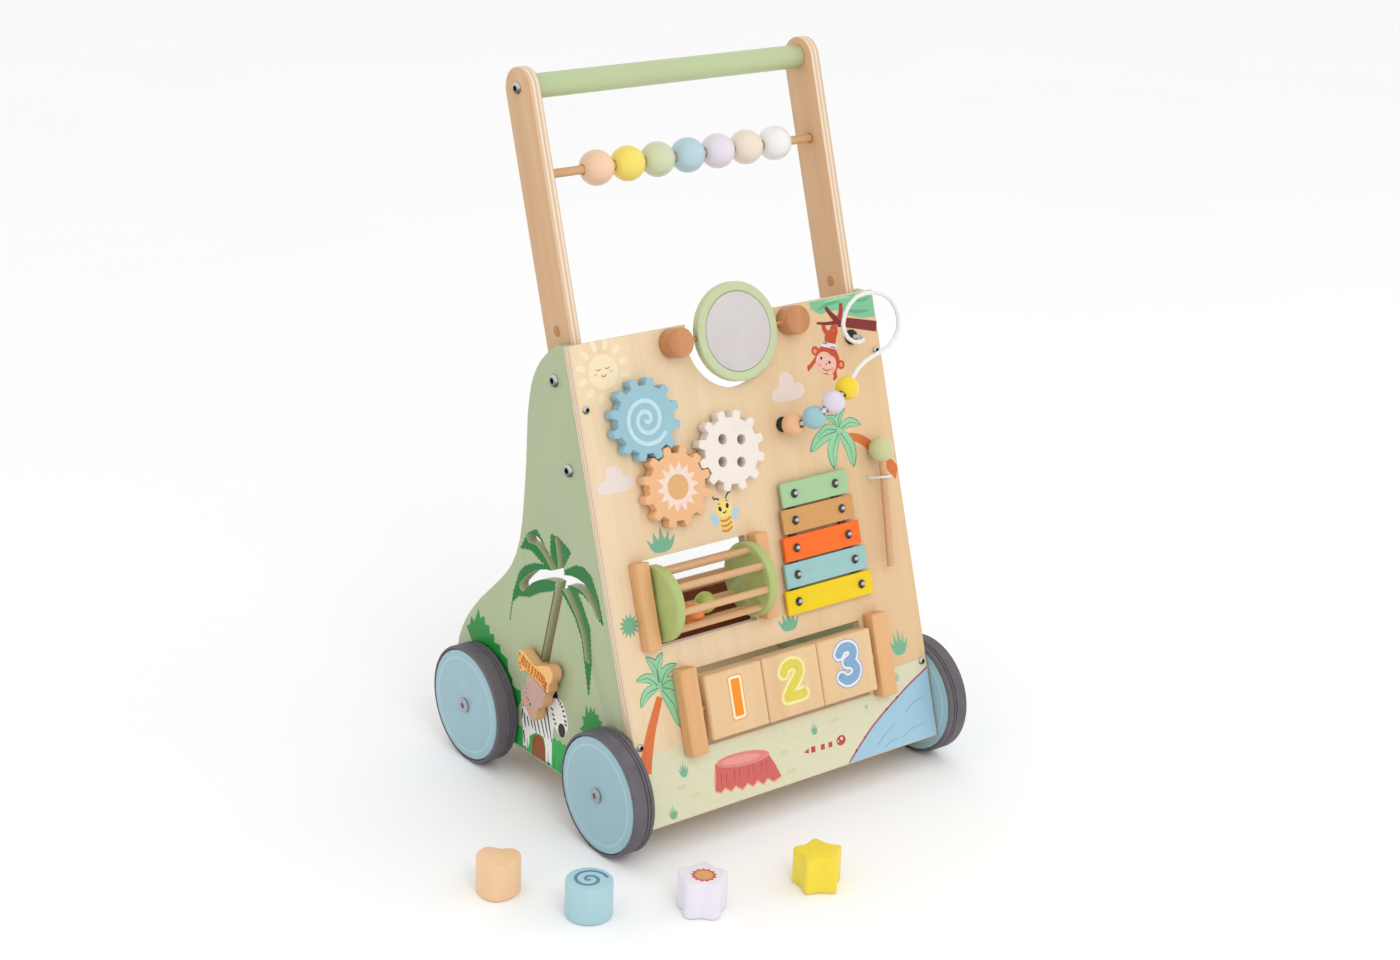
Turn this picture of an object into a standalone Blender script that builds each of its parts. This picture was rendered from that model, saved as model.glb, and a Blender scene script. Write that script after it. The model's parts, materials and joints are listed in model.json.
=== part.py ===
"""Wooden baby walker with an activity panel, a push handle, four wheels and loose sorter blocks.

Metres, +Z up, floor at Z = 0. +X is to the right of the panel and -Y is the side the panel faces.
Panel places are written (u, v, n): across, up the slope from the lower edge, and out of the face.
"""
import bmesh
import bpy
from mathutils import Matrix
from mathutils import Vector
from math import acos
from math import atan2
from math import cos
from math import exp
from math import pi
from math import radians
from math import sin
from math import tan

# ---- driving dimensions -------------------------------------------------------------------
GAP = 0.0003
SET_SHIFT = Vector((0.05377, 0.05133, 0.0))   # walker's own middle, seen from the set's middle

BODY_HALF = 0.150
PANEL_T = 0.0089
PANEL_LEN = 0.3754
PANEL_FOOT = Vector((0.0, -0.1320, 0.0290))
LEAN = radians(18.06)

SIDE_T = 0.0089
SIDE_FOOT_Z = 0.0265
SIDE_IN = BODY_HALF - SIDE_T

POST_T = 0.0094
POST_W = 0.0345
POST_N = -0.0283
POST_V = (0.2560, 0.5700)
BAR_V = 0.5715
BAR_R = 0.0095
ROD_V = 0.5047
ROD_R = 0.0035
ROD_SINK = 0.0060

BEAD_R = 0.0140
BEAD_BORE = 0.0041
BEAD_U = (-0.0812, -0.0517, -0.0230, 0.0066, 0.0365, 0.0651, 0.0947)

MIRROR_V = 0.3633
MIRROR_N = 0.0075
MIRROR_R = 0.0392
MIRROR_T = 0.0080
GLASS_R = 0.0316
GLASS_T = 0.0016
NOTCH_R = 0.0435
PEG_U = 0.0580
PEG_R = 0.0117
PEG_H = 0.0155

GEAR_TEETH = 12
GEAR_PITCH_R = 0.0295
GEAR_TIP_R = 0.0320
GEAR_ROOT_R = 0.0262
GEAR_BACKLASH = 0.0006
GEAR_N = (0.0015, 0.0110)
GEAR_MID = Vector((-0.0797, 0.2549))
GEAR_MID_PHASE = radians(10.0)
GEAR_TO_LEFT = radians(109.0)
GEAR_TO_RIGHT = radians(17.7)

DRUM_V = 0.1703
DRUM_N = 0.0060
DRUM_R = 0.0300
DRUM_U = (-0.1150, -0.0170)
DRUM_DISC_T = 0.0080
DRUM_WINDOW = (-0.1160, -0.0160, 0.1360, 0.2042)
DRUM_DOWELS = 8
DRUM_DOWEL_R = 0.0030
DRUM_DOWEL_RING = 0.0245
DRUM_PHASE = radians(28.0)

BLOCK_V = 0.0814
BLOCK_N = 0.0050
BLOCK_SIZE = (0.0558, 0.0514, 0.0160)
BLOCK_PITCH = 0.0565
BLOCK_WINDOW = (-0.0852, 0.0852, 0.0503, 0.1125)

CHIME_U = 0.0557
CHIME_V = (0.2276, 0.2064, 0.1846, 0.1635, 0.1422)
CHIME_H = 0.0195
CHIME_N = (0.0032, 0.0062)
CHIME_HALF = (0.0342, 0.0026)    # half length of the top bar, and growth to each lower one
CHIME_SCREW = (0.0213, 0.0029)   # the same for the screws' half spacing

WHEEL_R = 0.0500
WHEEL_DISC_R = 0.0473
WHEEL_W = 0.0200
WHEEL_X = 0.1616
WHEEL_Y = 0.0942
WHEEL_FACETS = 32

MALLET_HEAD = Vector((0.1259, 0.2467))
MALLET_FOOT = Vector((0.1177, 0.1510))
MALLET_N = 0.0113
MALLET_R = 0.0108
MALLET_STICK_R = 0.0031
MALLET_LOOP_AT = 0.235           # share of the way from head to foot

WIRE_R = 0.00175
WIRE_ROUTE = (
    (0.0373, 0.2830, 0.0008), (0.0373, 0.2826, 0.0060), (0.0381, 0.2822, 0.0150),
    (0.0412, 0.2834, 0.0235), (0.0464, 0.2868, 0.0330), (0.0545, 0.2930, 0.0395),
    (0.0640, 0.2985, 0.0410), (0.0725, 0.3020, 0.0400), (0.0815, 0.3065, 0.0375),
    (0.0910, 0.3150, 0.0352), (0.1020, 0.3215, 0.0348), (0.1150, 0.3255, 0.0350),
    (0.1290, 0.3300, 0.0352), (0.1395, 0.3385, 0.0354), (0.1436, 0.3500, 0.0355),
    (0.1405, 0.3625, 0.0355), (0.1310, 0.3715, 0.0355), (0.1170, 0.3752, 0.0355),
    (0.1030, 0.3735, 0.0355), (0.0915, 0.3655, 0.0354), (0.0858, 0.3545, 0.0350),
    (0.0880, 0.3450, 0.0340), (0.0960, 0.3390, 0.0320), (0.1060, 0.3372, 0.0285),
    (0.1145, 0.3385, 0.0225), (0.1192, 0.3401, 0.0140), (0.1203, 0.3404, 0.0060),
    (0.1203, 0.3404, 0.0008),
)
WIRE_BEAD_R = 0.0095
WIRE_BEAD_BORE = 0.0034
WIRE_BEAD_AT = (0.0128, 0.0330, 0.0530, 0.0728)   # along the wire from its lower end

SLOT_W = 0.0080
CROWN = (-0.0098, 0.1935)
LEAF_SLOTS = (
    (CROWN, (0.0005, 0.2010), (0.0120, 0.2098), (0.0240, 0.2150), (0.0345, 0.2140)),
    (CROWN, (-0.0095, 0.2035), (-0.0078, 0.2145), (-0.0048, 0.2250)),
    (CROWN, (0.0020, 0.1935), (0.0160, 0.1895), (0.0310, 0.1815), (0.0440, 0.1690)),
    (CROWN, (-0.0240, 0.1985), (-0.0400, 0.1985), (-0.0530, 0.1915), (-0.0600, 0.1830)),
    (CROWN, (-0.0220, 0.1855), (-0.0350, 0.1730), (-0.0440, 0.1580), (-0.0480, 0.1420)),
)
TRUNK_FOOT = (0.0203, 0.0790)
SLIDER_PIN_R = 0.0030
SLIDER_Z = (0.1120, 0.0801)      # heights of the upper and lower slider's pins in the trunk
SLIDER_FACE = (0.0120, 0.0028)   # outer and inner face, off the side panel

SORT_R = 0.0180
SORT_H = 0.0290
STAR_TIP = 1.28                  # outline radii as shares of a round block's
STAR_ROOT = 0.70
FLOWER_MEAN = 0.97
FLOWER_LOBE = 0.13
HEART_DIP = 0.30
HEART_DIP_TURN = 0.42            # half width of the dip, in radians
HEART_TAPER = 0.25
SORT_CLEAR = 1.10                # a sorter hole's size against its block's
SORT_FLOOR = {
    "heart": (-0.2651, -0.1001, radians(-42)),
    "round": (-0.2278, -0.1654, 0.0),
    "flower": (-0.1538, -0.2065, radians(52)),
    "star": (-0.0587, -0.2269, radians(-30)),
}
SORT_HOLES = {"heart": (0.0030, 0.2330), "round": (-0.0450, 0.1880),
              "flower": (0.0170, 0.1760), "star": (-0.0200, 0.1300)}

PANEL = (Matrix.Translation(SET_SHIFT + PANEL_FOOT)
         @ Matrix.Rotation(pi / 2 - LEAN, 4, "X"))
ALONG_X = Matrix.Rotation(pi / 2, 4, "Y")


# ---- scene and materials ------------------------------------------------------------------
def clear_scene():
    for old in list(bpy.data.objects):
        bpy.data.objects.remove(old, do_unlink=True)


def new_collection(name):
    group = bpy.data.collections.new(name)
    bpy.context.scene.collection.children.link(group)
    return group


clear_scene()
PARTS = new_collection("baby_walker")
CUTTERS = new_collection("cutters")

COLOURS = {
    "birch": (0.84, 0.66, 0.45), "beech": (0.66, 0.38, 0.20), "sage": (0.44, 0.51, 0.30),
    "pale_green": (0.60, 0.69, 0.40), "leaf": (0.42, 0.66, 0.35), "sky": (0.33, 0.56, 0.67),
    "apricot": (0.88, 0.50, 0.25), "cream": (0.90, 0.84, 0.77), "white": (0.92, 0.91, 0.89),
    "orange": (1.00, 0.17, 0.01), "tan": (0.69, 0.35, 0.10), "yellow": (0.94, 0.68, 0.02),
    "lilac": (0.76, 0.70, 0.84), "mallet_green": (0.21, 0.56, 0.36), "teal": (0.37, 0.59, 0.56),
    "rubber": (0.14, 0.13, 0.14), "steel": (0.60, 0.60, 0.60), "mirror": (0.85, 0.83, 0.84),
    "black": (0.02, 0.02, 0.02), "peach": (0.85, 0.48, 0.26),
}


def material(name, metallic=0.0):
    label = name + ("_metal" if metallic else "")
    found = bpy.data.materials.get(label)
    if found:
        return found
    made = bpy.data.materials.new(label)
    made.use_nodes = True
    shader = made.node_tree.nodes["Principled BSDF"]
    shader.inputs["Base Color"].default_value = (*COLOURS[name], 1.0)
    shader.inputs["Roughness"].default_value = 0.25 if metallic else 0.55
    shader.inputs["Metallic"].default_value = metallic
    return made


# ---- shape helpers ------------------------------------------------------------------------
def bake(obj):
    """Give the object its evaluated mesh, with coincident points joined and faces turned outwards."""
    shape = bpy.data.meshes.new_from_object(obj.evaluated_get(bpy.context.evaluated_depsgraph_get()))
    made = bpy.data.objects.new(obj.name + "_mesh", shape)
    bm = bmesh.new()
    bm.from_mesh(shape)
    bmesh.ops.remove_doubles(bm, verts=bm.verts, dist=0.00001)
    bmesh.ops.recalc_face_normals(bm, faces=bm.faces)
    bm.to_mesh(shape)
    bm.free()
    made.matrix_world = obj.matrix_world.copy()
    name = obj.name
    bpy.data.objects.remove(obj, do_unlink=True)
    made.name = name
    return made


def link(obj, group=None):
    (group or PARTS).objects.link(obj)
    return obj


def outline(name, loops, thickness):
    """Flat solid from closed outlines (the later ones are holes), from local Z 0 upwards."""
    curve = bpy.data.curves.new(name, "CURVE")
    curve.dimensions = "2D"
    curve.fill_mode = "BOTH"
    curve.extrude = thickness / 2
    for loop in loops:
        spline = curve.splines.new("POLY")
        spline.points.add(len(loop) - 1)
        spline.use_cyclic_u = True
        for point, place in zip(spline.points, loop):
            point.co = (place[0], place[1], 0.0, 1.0)
    obj = link(bpy.data.objects.new(name, curve))
    bpy.context.view_layer.update()
    solid = link(bake(obj))
    solid.data.transform(Matrix.Translation((0.0, 0.0, thickness / 2)))
    return solid


def turned(name, profile, facets, closed=False):
    """Solid of revolution about local Z; profile is (radius, height) down the outer side."""
    shape = bpy.data.meshes.new(name)
    count = len(profile)
    edges = [(i, i + 1) for i in range(count - 1)]
    if closed:
        edges.append((count - 1, 0))
    shape.from_pydata([(r, 0.0, z) for r, z in profile], edges, [])
    obj = link(bpy.data.objects.new(name, shape))
    screw = obj.modifiers.new("turn", "SCREW")
    screw.angle = 2 * pi
    screw.steps = facets
    screw.render_steps = facets
    screw.use_merge_vertices = True
    screw.merge_threshold = 0.00002
    screw.use_smooth_shade = False
    bpy.context.view_layer.update()
    return link(bake(obj))


def cylinder(name, radius, low, high, facets=24):
    return turned(name, [(0.0, high), (radius, high), (radius, low), (0.0, low)], facets)


def block(name, size):
    bm = bmesh.new()
    bmesh.ops.create_cube(bm, size=1.0, matrix=Matrix.Diagonal((*size, 1.0)))
    shape = bpy.data.meshes.new(name)
    bm.to_mesh(shape)
    bm.free()
    return link(bpy.data.objects.new(name, shape))


def tube(name, points, radius, resolution=2):
    curve = bpy.data.curves.new(name, "CURVE")
    curve.dimensions = "3D"
    curve.bevel_depth = radius
    curve.bevel_resolution = resolution
    curve.use_fill_caps = True
    spline = curve.splines.new("POLY")
    spline.points.add(len(points) - 1)
    for point, place in zip(spline.points, points):
        point.co = (*place, 1.0)
    obj = link(bpy.data.objects.new(name, curve))
    bpy.context.view_layer.update()
    return link(bake(obj))


def soften(obj, width, segments=1):
    bevel = obj.modifiers.new("edges", "BEVEL")
    bevel.width = width
    bevel.segments = segments
    bevel.limit_method = "ANGLE"
    bevel.angle_limit = radians(40)
    return obj


def boolean(obj, tools, operation="DIFFERENCE"):
    for tool in tools:
        for group in list(tool.users_collection):
            group.objects.unlink(tool)
        link(tool, CUTTERS)
        tool.hide_render = True
        tool.display_type = "WIRE"
        change = obj.modifiers.new(operation.lower(), "BOOLEAN")
        change.operation = operation
        change.solver = "EXACT"
        change.object = tool
    return obj


def finish(obj, name, colour, metallic=0.0):
    obj.name = name
    obj.data.name = name
    obj.data.materials.clear()
    obj.data.materials.append(material(colour, metallic))
    obj.data.shade_smooth()
    obj.data.set_sharp_from_angle(angle=radians(35))
    return obj


def put(obj, matrix):
    obj.matrix_world = matrix
    return obj


def on_panel(u, v, n=0.0):
    return PANEL @ Matrix.Translation((u, v, n))


def on_side(x, y=0.0, z=0.0):
    """Plane of constant X: local X is +Y, local Y is +Z and local Z is +X."""
    across = Matrix(((0, 0, 1, 0), (1, 0, 0, 0), (0, 1, 0, 0), (0, 0, 0, 1)))
    return Matrix.Translation(SET_SHIFT + Vector((x, y, z))) @ across


def on_left_face(y, z):
    """Outer face of the left panel: local X is -Y, local Y is +Z and local Z points outwards."""
    across = Matrix(((0, 0, -1, 0), (-1, 0, 0, 0), (0, 1, 0, 0), (0, 0, 0, 1)))
    return Matrix.Translation(SET_SHIFT + Vector((-BODY_HALF, y, z))) @ across


# ---- outlines -----------------------------------------------------------------------------
def arc(centre, radius, start, end, steps):
    angles = [start + (end - start) * i / steps for i in range(steps + 1)]
    return [(centre[0] + radius * cos(a), centre[1] + radius * sin(a)) for a in angles]


def circle(centre, radius, steps=20):
    return arc(centre, radius, 0.0, 2 * pi, steps)[:-1]


def rectangle(left, right, low, high):
    return [(left, low), (right, low), (right, high), (left, high)]


def smooth(points, steps):
    """Points on a Catmull-Rom curve through the given ones, for any number of axes."""
    ends = [points[0], *points, points[-1]]
    result = []
    for a, b, c, d in zip(ends, ends[1:], ends[2:], ends[3:]):
        for i in range(steps):
            t = i / steps
            weights = (-t + 2 * t * t - t ** 3, 2 - 5 * t * t + 3 * t ** 3,
                       t + 4 * t * t - 3 * t ** 3, -t * t + t ** 3)
            result.append(tuple(sum(w * p[k] for w, p in zip(weights, (a, b, c, d))) / 2
                                for k in range(len(a))))
    result.append(tuple(points[-1]))
    return result


def stroke(points, width, cap_steps=5):
    """Outline of a round-ended channel of one width along a line of points."""
    half = width / 2
    headings = []
    for i in range(len(points)):
        before = points[max(i - 1, 0)]
        after = points[min(i + 1, len(points) - 1)]
        headings.append(atan2(after[1] - before[1], after[0] - before[0]))
    right = [(p[0] + half * sin(h), p[1] - half * cos(h)) for p, h in zip(points, headings)]
    left = [(p[0] - half * sin(h), p[1] + half * cos(h)) for p, h in zip(points, headings)]
    far = arc(points[-1], half, headings[-1] - pi / 2, headings[-1] + pi / 2, cap_steps)[1:-1]
    near = arc(points[0], half, headings[0] + pi / 2, headings[0] + 3 * pi / 2, cap_steps)[1:-1]
    return right + far + left[::-1] + near


def softened(points, passes):
    """A closed outline with its corners eased, each point drawn towards its neighbours."""
    for _ in range(passes):
        before = points[-1:] + points[:-1]
        after = points[1:] + points[:1]
        points = [((a[0] + 2 * b[0] + c[0]) / 4, (a[1] + 2 * b[1] + c[1]) / 4)
                  for a, b, c in zip(before, points, after)]
    return points


def sorter_outline(shape, radius):
    if shape == "round":
        return circle((0.0, 0.0), radius, 20)
    if shape == "star":
        reach = [radius * (STAR_ROOT if i % 2 else STAR_TIP) for i in range(10)]
        corners = [(r * cos(pi / 2 + i * pi / 5), r * sin(pi / 2 + i * pi / 5)) for i, r in enumerate(reach)]
        edges = zip(corners, corners[1:] + corners[:1])
        points = [(a[0] + (b[0] - a[0]) * k / 3, a[1] + (b[1] - a[1]) * k / 3)
                  for a, b in edges for k in range(3)]
        return softened(points, 2)
    if shape == "flower":
        turns = [2 * pi * i / 30 for i in range(30)]
        reach = [radius * (FLOWER_MEAN + FLOWER_LOBE * cos(5 * a)) for a in turns]
        return [(r * cos(a), r * sin(a)) for r, a in zip(reach, turns)]
    turns = [pi - 2 * pi * i / 28 for i in range(28)]
    return [(radius * sin(a) * (1 - HEART_TAPER * (0.5 - 0.5 * cos(a)) ** 2),
             radius * (cos(a) - HEART_DIP * exp(-(a / HEART_DIP_TURN) ** 2)))
            for a in turns]


def moved(points, x, y):
    return [(p[0] + x, p[1] + y) for p in points]


# ---- body ---------------------------------------------------------------------------------
def side_profile():
    """The side panel seen from +X: (y, z), front edge leaning with the activity panel."""
    foot_y = PANEL_FOOT.y + (PANEL_T + GAP) * cos(LEAN) + 0.0002
    head_y = foot_y + (0.3831 - SIDE_FOOT_Z) * tan(LEAN)
    shoulder = smooth([(head_y + 0.0080, 0.3825), (0.0225, 0.3640), (0.0345, 0.3420), (0.0392, 0.3150)], 3)
    waist = smooth([(0.0405, 0.2750), (0.0430, 0.2420), (0.0480, 0.2080), (0.0600, 0.1815),
                    (0.0800, 0.1600), (0.1050, 0.1365), (0.1250, 0.1130), (0.1370, 0.0900),
                    (0.1398, 0.0700), (0.1360, 0.0480), (0.1240, 0.0320)], 2)
    return ([(foot_y, SIDE_FOOT_Z)] + [(0.1120, SIDE_FOOT_Z)] + waist[::-1] + shoulder[::-1]
            + [(head_y, 0.3831)])


def axle_holes():
    return [circle((y, WHEEL_R * cos(pi / WHEEL_FACETS)), 0.0033, 12) for y in (-WHEEL_Y, WHEEL_Y)]


def make_side_panels():
    right_holes = [moved(sorter_outline(shape, SORT_R * SORT_CLEAR), *place)
                   for shape, place in SORT_HOLES.items()]
    right = outline("side_panel_right", [side_profile()] + axle_holes() + right_holes, SIDE_T)
    finish(put(right, on_side(SIDE_IN)), "side_panel_right", "sage")
    left = outline("side_panel_left", [side_profile()] + axle_holes(), SIDE_T)
    put(left, on_side(-BODY_HALF))
    channels = [[CROWN, TRUNK_FOOT]] + [smooth(points, 2) for points in LEAF_SLOTS]
    tools = []
    for i, channel in enumerate(channels):
        tool = outline("maze_cutter_%d" % i, [stroke(channel, SLOT_W + 0.00002 * i)], 3 * SIDE_T)
        tools.append(put(tool, on_side(-BODY_HALF - SIDE_T - 0.0001 * i)))
    finish(boolean(left, tools), "side_panel_left", "sage")


def make_front_panel():
    half_notch = acos((PANEL_LEN - MIRROR_V) / NOTCH_R)
    notch = arc((0.0, MIRROR_V), NOTCH_R, pi / 2 - half_notch, -3 * pi / 2 + half_notch, 28)
    edge = [(-BODY_HALF, 0.0), (BODY_HALF, 0.0), (BODY_HALF, PANEL_LEN)] + notch + [(-BODY_HALF, PANEL_LEN)]
    loops = [edge, rectangle(*DRUM_WINDOW), rectangle(*BLOCK_WINDOW)]
    panel = outline("front_panel", loops, PANEL_T)
    put(panel, on_panel(0.0, 0.0, -PANEL_T))
    spindles = []
    for name, _, centre, _ in gear_layout():
        spindle = cylinder(name + "_spindle", 0.0025, -0.0040, GEAR_N[0] + 0.0062, 16)
        spindles.append(put(spindle, on_panel(centre.x, centre.y)))
    finish(boolean(panel, spindles, "UNION"), "front_panel", "birch")


def make_bin_base():
    width = 2 * (SIDE_IN - GAP)
    base = block("bin_base", (width, 0.2150, 0.0090))
    put(base, Matrix.Translation(SET_SHIFT + Vector((0.0, 0.0010, 0.0310))))
    rear = block("rear_rail", (width, 0.0090, 0.0640))
    put(rear, Matrix.Translation(SET_SHIFT + Vector((0.0, 0.1130, 0.0585))))
    finish(boolean(base, [rear], "UNION"), "bin_base", "birch")


def make_posts():
    half = POST_W / 2
    low, high = POST_V
    rim = arc((0.0, low + half), half, pi, 2 * pi, 10) + arc((0.0, high), half, 0.0, pi, 14)
    inner = SIDE_IN - GAP - POST_T
    on_edge = Matrix(((0, 0, 1, 0), (0, 1, 0, 0), (-1, 0, 0, 0), (0, 0, 0, 1)))
    for side, name in ((-1, "handle_post_left"), (1, "handle_post_right")):
        post = outline(name, [rim], POST_T)
        start = inner if side > 0 else -inner - POST_T
        put(post, on_panel(start, 0.0, POST_N) @ on_edge)
        bore = cylinder(name + "_bore", ROD_R + 0.0003, -ROD_SINK - 0.0006, ROD_SINK + 0.0006, 12)
        put(bore, on_panel(side * inner, ROD_V, POST_N) @ ALONG_X)
        finish(boolean(post, [bore]), name, "birch")


def make_handle():
    inner = SIDE_IN - GAP - POST_T
    bar = cylinder("handle_bar", BAR_R, -inner + GAP, inner - GAP, 24)
    finish(put(bar, on_panel(0.0, BAR_V, POST_N) @ ALONG_X), "handle_bar", "pale_green")
    reach = inner + ROD_SINK
    rod = cylinder("abacus_rod", ROD_R, -reach, reach, 12)
    finish(put(rod, on_panel(0.0, ROD_V, POST_N) @ ALONG_X), "abacus_rod", "birch")


def bead_profile(radius, bore, steps=6):
    reach = acos(bore / radius)
    return [(radius * cos(reach - 2 * reach * i / steps), radius * sin(reach - 2 * reach * i / steps))
            for i in range(steps + 1)]


def make_abacus_beads():
    colours = ("apricot", "yellow", "leaf", "sky", "lilac", "cream", "white")
    for i, (u, colour) in enumerate(zip(BEAD_U, colours)):
        bead = turned("abacus_bead", bead_profile(BEAD_R, BEAD_BORE), 14, True)
        put(bead, on_panel(u, ROD_V, POST_N) @ ALONG_X)
        finish(bead, "abacus_bead_%d" % (i + 1), colour)


# ---- activity toys ------------------------------------------------------------------------
def make_mirror():
    front = MIRROR_T / 2
    floor = front - GLASS_T - 2 * GAP
    dish = [(0.0, floor), (GLASS_R, floor), (GLASS_R + 0.0001, front), (MIRROR_R - 0.0010, front),
            (MIRROR_R, front - 0.0010), (MIRROR_R, 0.0010 - front), (MIRROR_R - 0.0010, -front),
            (0.0, -front)]
    frame = turned("mirror_frame", dish, 36)
    put(frame, on_panel(0.0, MIRROR_V, MIRROR_N))
    bores = []
    for side, name in ((-1, "mirror_peg_left"), (1, "mirror_peg_right")):
        bore = cylinder(name + "_socket", 0.0017, -0.0100, 0.0100, 16)
        bores.append(put(bore, on_panel(side * (MIRROR_R + 0.0020), MIRROR_V, MIRROR_N) @ ALONG_X))
        peg = soften(cylinder(name, PEG_R, GAP, PEG_H, 20), 0.0006)
        put(peg, on_panel(side * PEG_U, MIRROR_V))
        pin = cylinder(name + "_pin", 0.0015, -0.0085, 0.0085, 16)
        put(pin, on_panel(side * (MIRROR_R + 0.0035), MIRROR_V, MIRROR_N) @ ALONG_X)
        finish(boolean(peg, [pin], "UNION"), name, "beech")
    finish(boolean(frame, bores), "mirror_frame", "pale_green")
    glass = cylinder("mirror_glass", GLASS_R - GAP, floor + GAP, floor + GAP + GLASS_T, 36)
    finish(put(glass, on_panel(0.0, MIRROR_V, MIRROR_N)), "mirror_glass", "mirror")


def gear_outline(phase):
    """Involute teeth at a 20 degree pressure angle, with radial flanks below the base circle."""
    base = GEAR_PITCH_R * cos(radians(20))

    def involute(radius):
        angle = acos(min(base / radius, 1.0))
        return tan(angle) - angle

    half_tooth = pi / (2 * GEAR_TEETH) - GEAR_BACKLASH / (2 * GEAR_PITCH_R)
    radii = [base + (GEAR_TIP_R - base) * i / 2 for i in range(3)]
    flank = [(GEAR_ROOT_R, half_tooth + involute(GEAR_PITCH_R))]
    flank += [(r, half_tooth + involute(GEAR_PITCH_R) - involute(r)) for r in radii]
    points = []
    for tooth in range(GEAR_TEETH):
        middle = phase + 2 * pi * tooth / GEAR_TEETH
        points += [(r * cos(middle - a), r * sin(middle - a)) for r, a in flank]
        points += [(r * cos(middle + a), r * sin(middle + a)) for r, a in reversed(flank)]
    return points


def gear_layout():
    """Name, colour, centre and tooth phase of the three gears, in mesh."""
    spacing = 2 * GEAR_PITCH_R
    rows = [("gear_middle", "apricot", GEAR_MID, GEAR_MID_PHASE)]
    for name, colour, way in (("gear_left", "sky", GEAR_TO_LEFT), ("gear_right", "cream", GEAR_TO_RIGHT)):
        centre = GEAR_MID + spacing * Vector((cos(way), sin(way)))
        phase = 2 * way - GEAR_MID_PHASE + pi / GEAR_TEETH
        rows.append((name, colour, centre, phase))
    return rows


def make_gears():
    low, high = GEAR_N
    for name, colour, centre, phase in gear_layout():
        loops = [gear_outline(phase)]
        if name == "gear_right":
            spots = [(0.0091 * a, 0.0088 * b) for a in (-1, 1) for b in (-1, 1)]
            tilt = radians(-10.5)
            loops += [circle((x * cos(tilt) - y * sin(tilt), x * sin(tilt) + y * cos(tilt)), 0.0043, 10)
                      for x, y in spots]
        gear = outline(name, loops, high - low)
        put(gear, on_panel(centre.x, centre.y, low))
        bore = cylinder(name + "_bore", 0.0027, -0.0010, 0.0070, 16)
        put(bore, on_panel(centre.x, centre.y, low))
        finish(boolean(gear, [bore]), name, colour)


def make_chimes():
    colours = ("leaf", "tan", "orange", "teal", "yellow")
    low, high = CHIME_N
    for i, (v, colour) in enumerate(zip(CHIME_V, colours)):
        half = CHIME_HALF[0] + CHIME_HALF[1] * i
        reach = CHIME_SCREW[0] + CHIME_SCREW[1] * i
        spots = [(-reach, 0.0), (reach, 0.0)]
        loops = [rectangle(-half, half, -CHIME_H / 2, CHIME_H / 2)]
        loops += [circle(spot, 0.0021, 12) for spot in spots]
        bar = outline("chime_bar", loops, high - low)
        put(bar, on_panel(CHIME_U, v, low))
        finish(bar, "chime_bar_%d" % (i + 1), colour, 1.0)


def make_chime_mount():
    """Two spacer strips with a tie between them, and the dome-headed screws that hold the bars."""
    low, high = CHIME_N
    last = len(CHIME_V) - 1
    reaches = [CHIME_SCREW[0] + CHIME_SCREW[1] * i for i in range(last + 1)]
    parts = []
    for side in (-1, 1):
        ends = [(side * reaches[0], CHIME_V[0]), (side * reaches[last], CHIME_V[last])]
        strip = outline("strip", [stroke(ends, 0.0060)], low - 2 * GAP)
        parts.append(put(strip, on_panel(CHIME_U, 0.0, GAP)))
        for reach, v in zip(reaches, CHIME_V):
            profile = [(0.0, high + 0.0026), (0.0022, high + 0.0021), (0.0038, high + GAP),
                       (0.0017, high + GAP), (0.0017, 0.0010), (0.0, 0.0010)]
            stud = turned("stud", profile, 8)
            parts.append(put(stud, on_panel(CHIME_U + side * reach, v)))
    tie = block("chime_mount", (2 * reaches[2], 0.0050, low - 4 * GAP))
    put(tie, on_panel(CHIME_U, CHIME_V[2], low / 2))
    finish(boolean(tie, parts, "UNION"), "chime_mount", "black")


def make_mallet():
    along = MALLET_FOOT - MALLET_HEAD
    lean = atan2(along.y, along.x)
    start = MALLET_R - 0.0020
    head = turned("mallet", ball_profile(MALLET_R), 16)
    frame = on_panel(MALLET_HEAD.x, MALLET_HEAD.y, MALLET_N) @ Matrix.Rotation(lean, 4, "Z") @ ALONG_X
    put(head, frame)
    stick = cylinder("mallet_stick", MALLET_STICK_R, start - 0.0040, along.length, 12)
    finish(boolean(head, [put(stick, frame)], "UNION"), "mallet", "mallet_green")
    at = MALLET_HEAD + along * MALLET_LOOP_AT
    reach = 0.0085
    rise = MALLET_N + MALLET_STICK_R + 0.0016
    arch = smooth([(-reach, 0.0, GAP), (-reach, 0.0, 0.0060), (-0.0052, 0.0, rise - 0.0018), (0.0, 0.0, rise),
                   (0.0052, 0.0, rise - 0.0018), (reach, 0.0, 0.0060), (reach, 0.0, GAP)], 3)
    loop = tube("mallet_loop", arch, 0.0011)
    put(loop, on_panel(at.x, at.y, 0.0) @ Matrix.Rotation(lean + pi / 2, 4, "Z"))
    finish(loop, "mallet_loop", "white")


def ball_profile(radius, steps=8):
    points = [(radius * sin(pi * i / steps), radius * cos(pi * i / steps)) for i in range(steps + 1)]
    points[0] = (0.0, radius)
    points[-1] = (0.0, -radius)
    return points


def wire_points():
    return [Vector(p) for p in smooth(WIRE_ROUTE, 6)]


def along_wire(points, distance):
    """Place and heading at a distance along the wire."""
    for a, b in zip(points, points[1:]):
        step = (b - a).length
        if distance <= step:
            return a.lerp(b, distance / step), (b - a).normalized()
        distance -= step
    return points[-1], (points[-1] - points[-2]).normalized()


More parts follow.
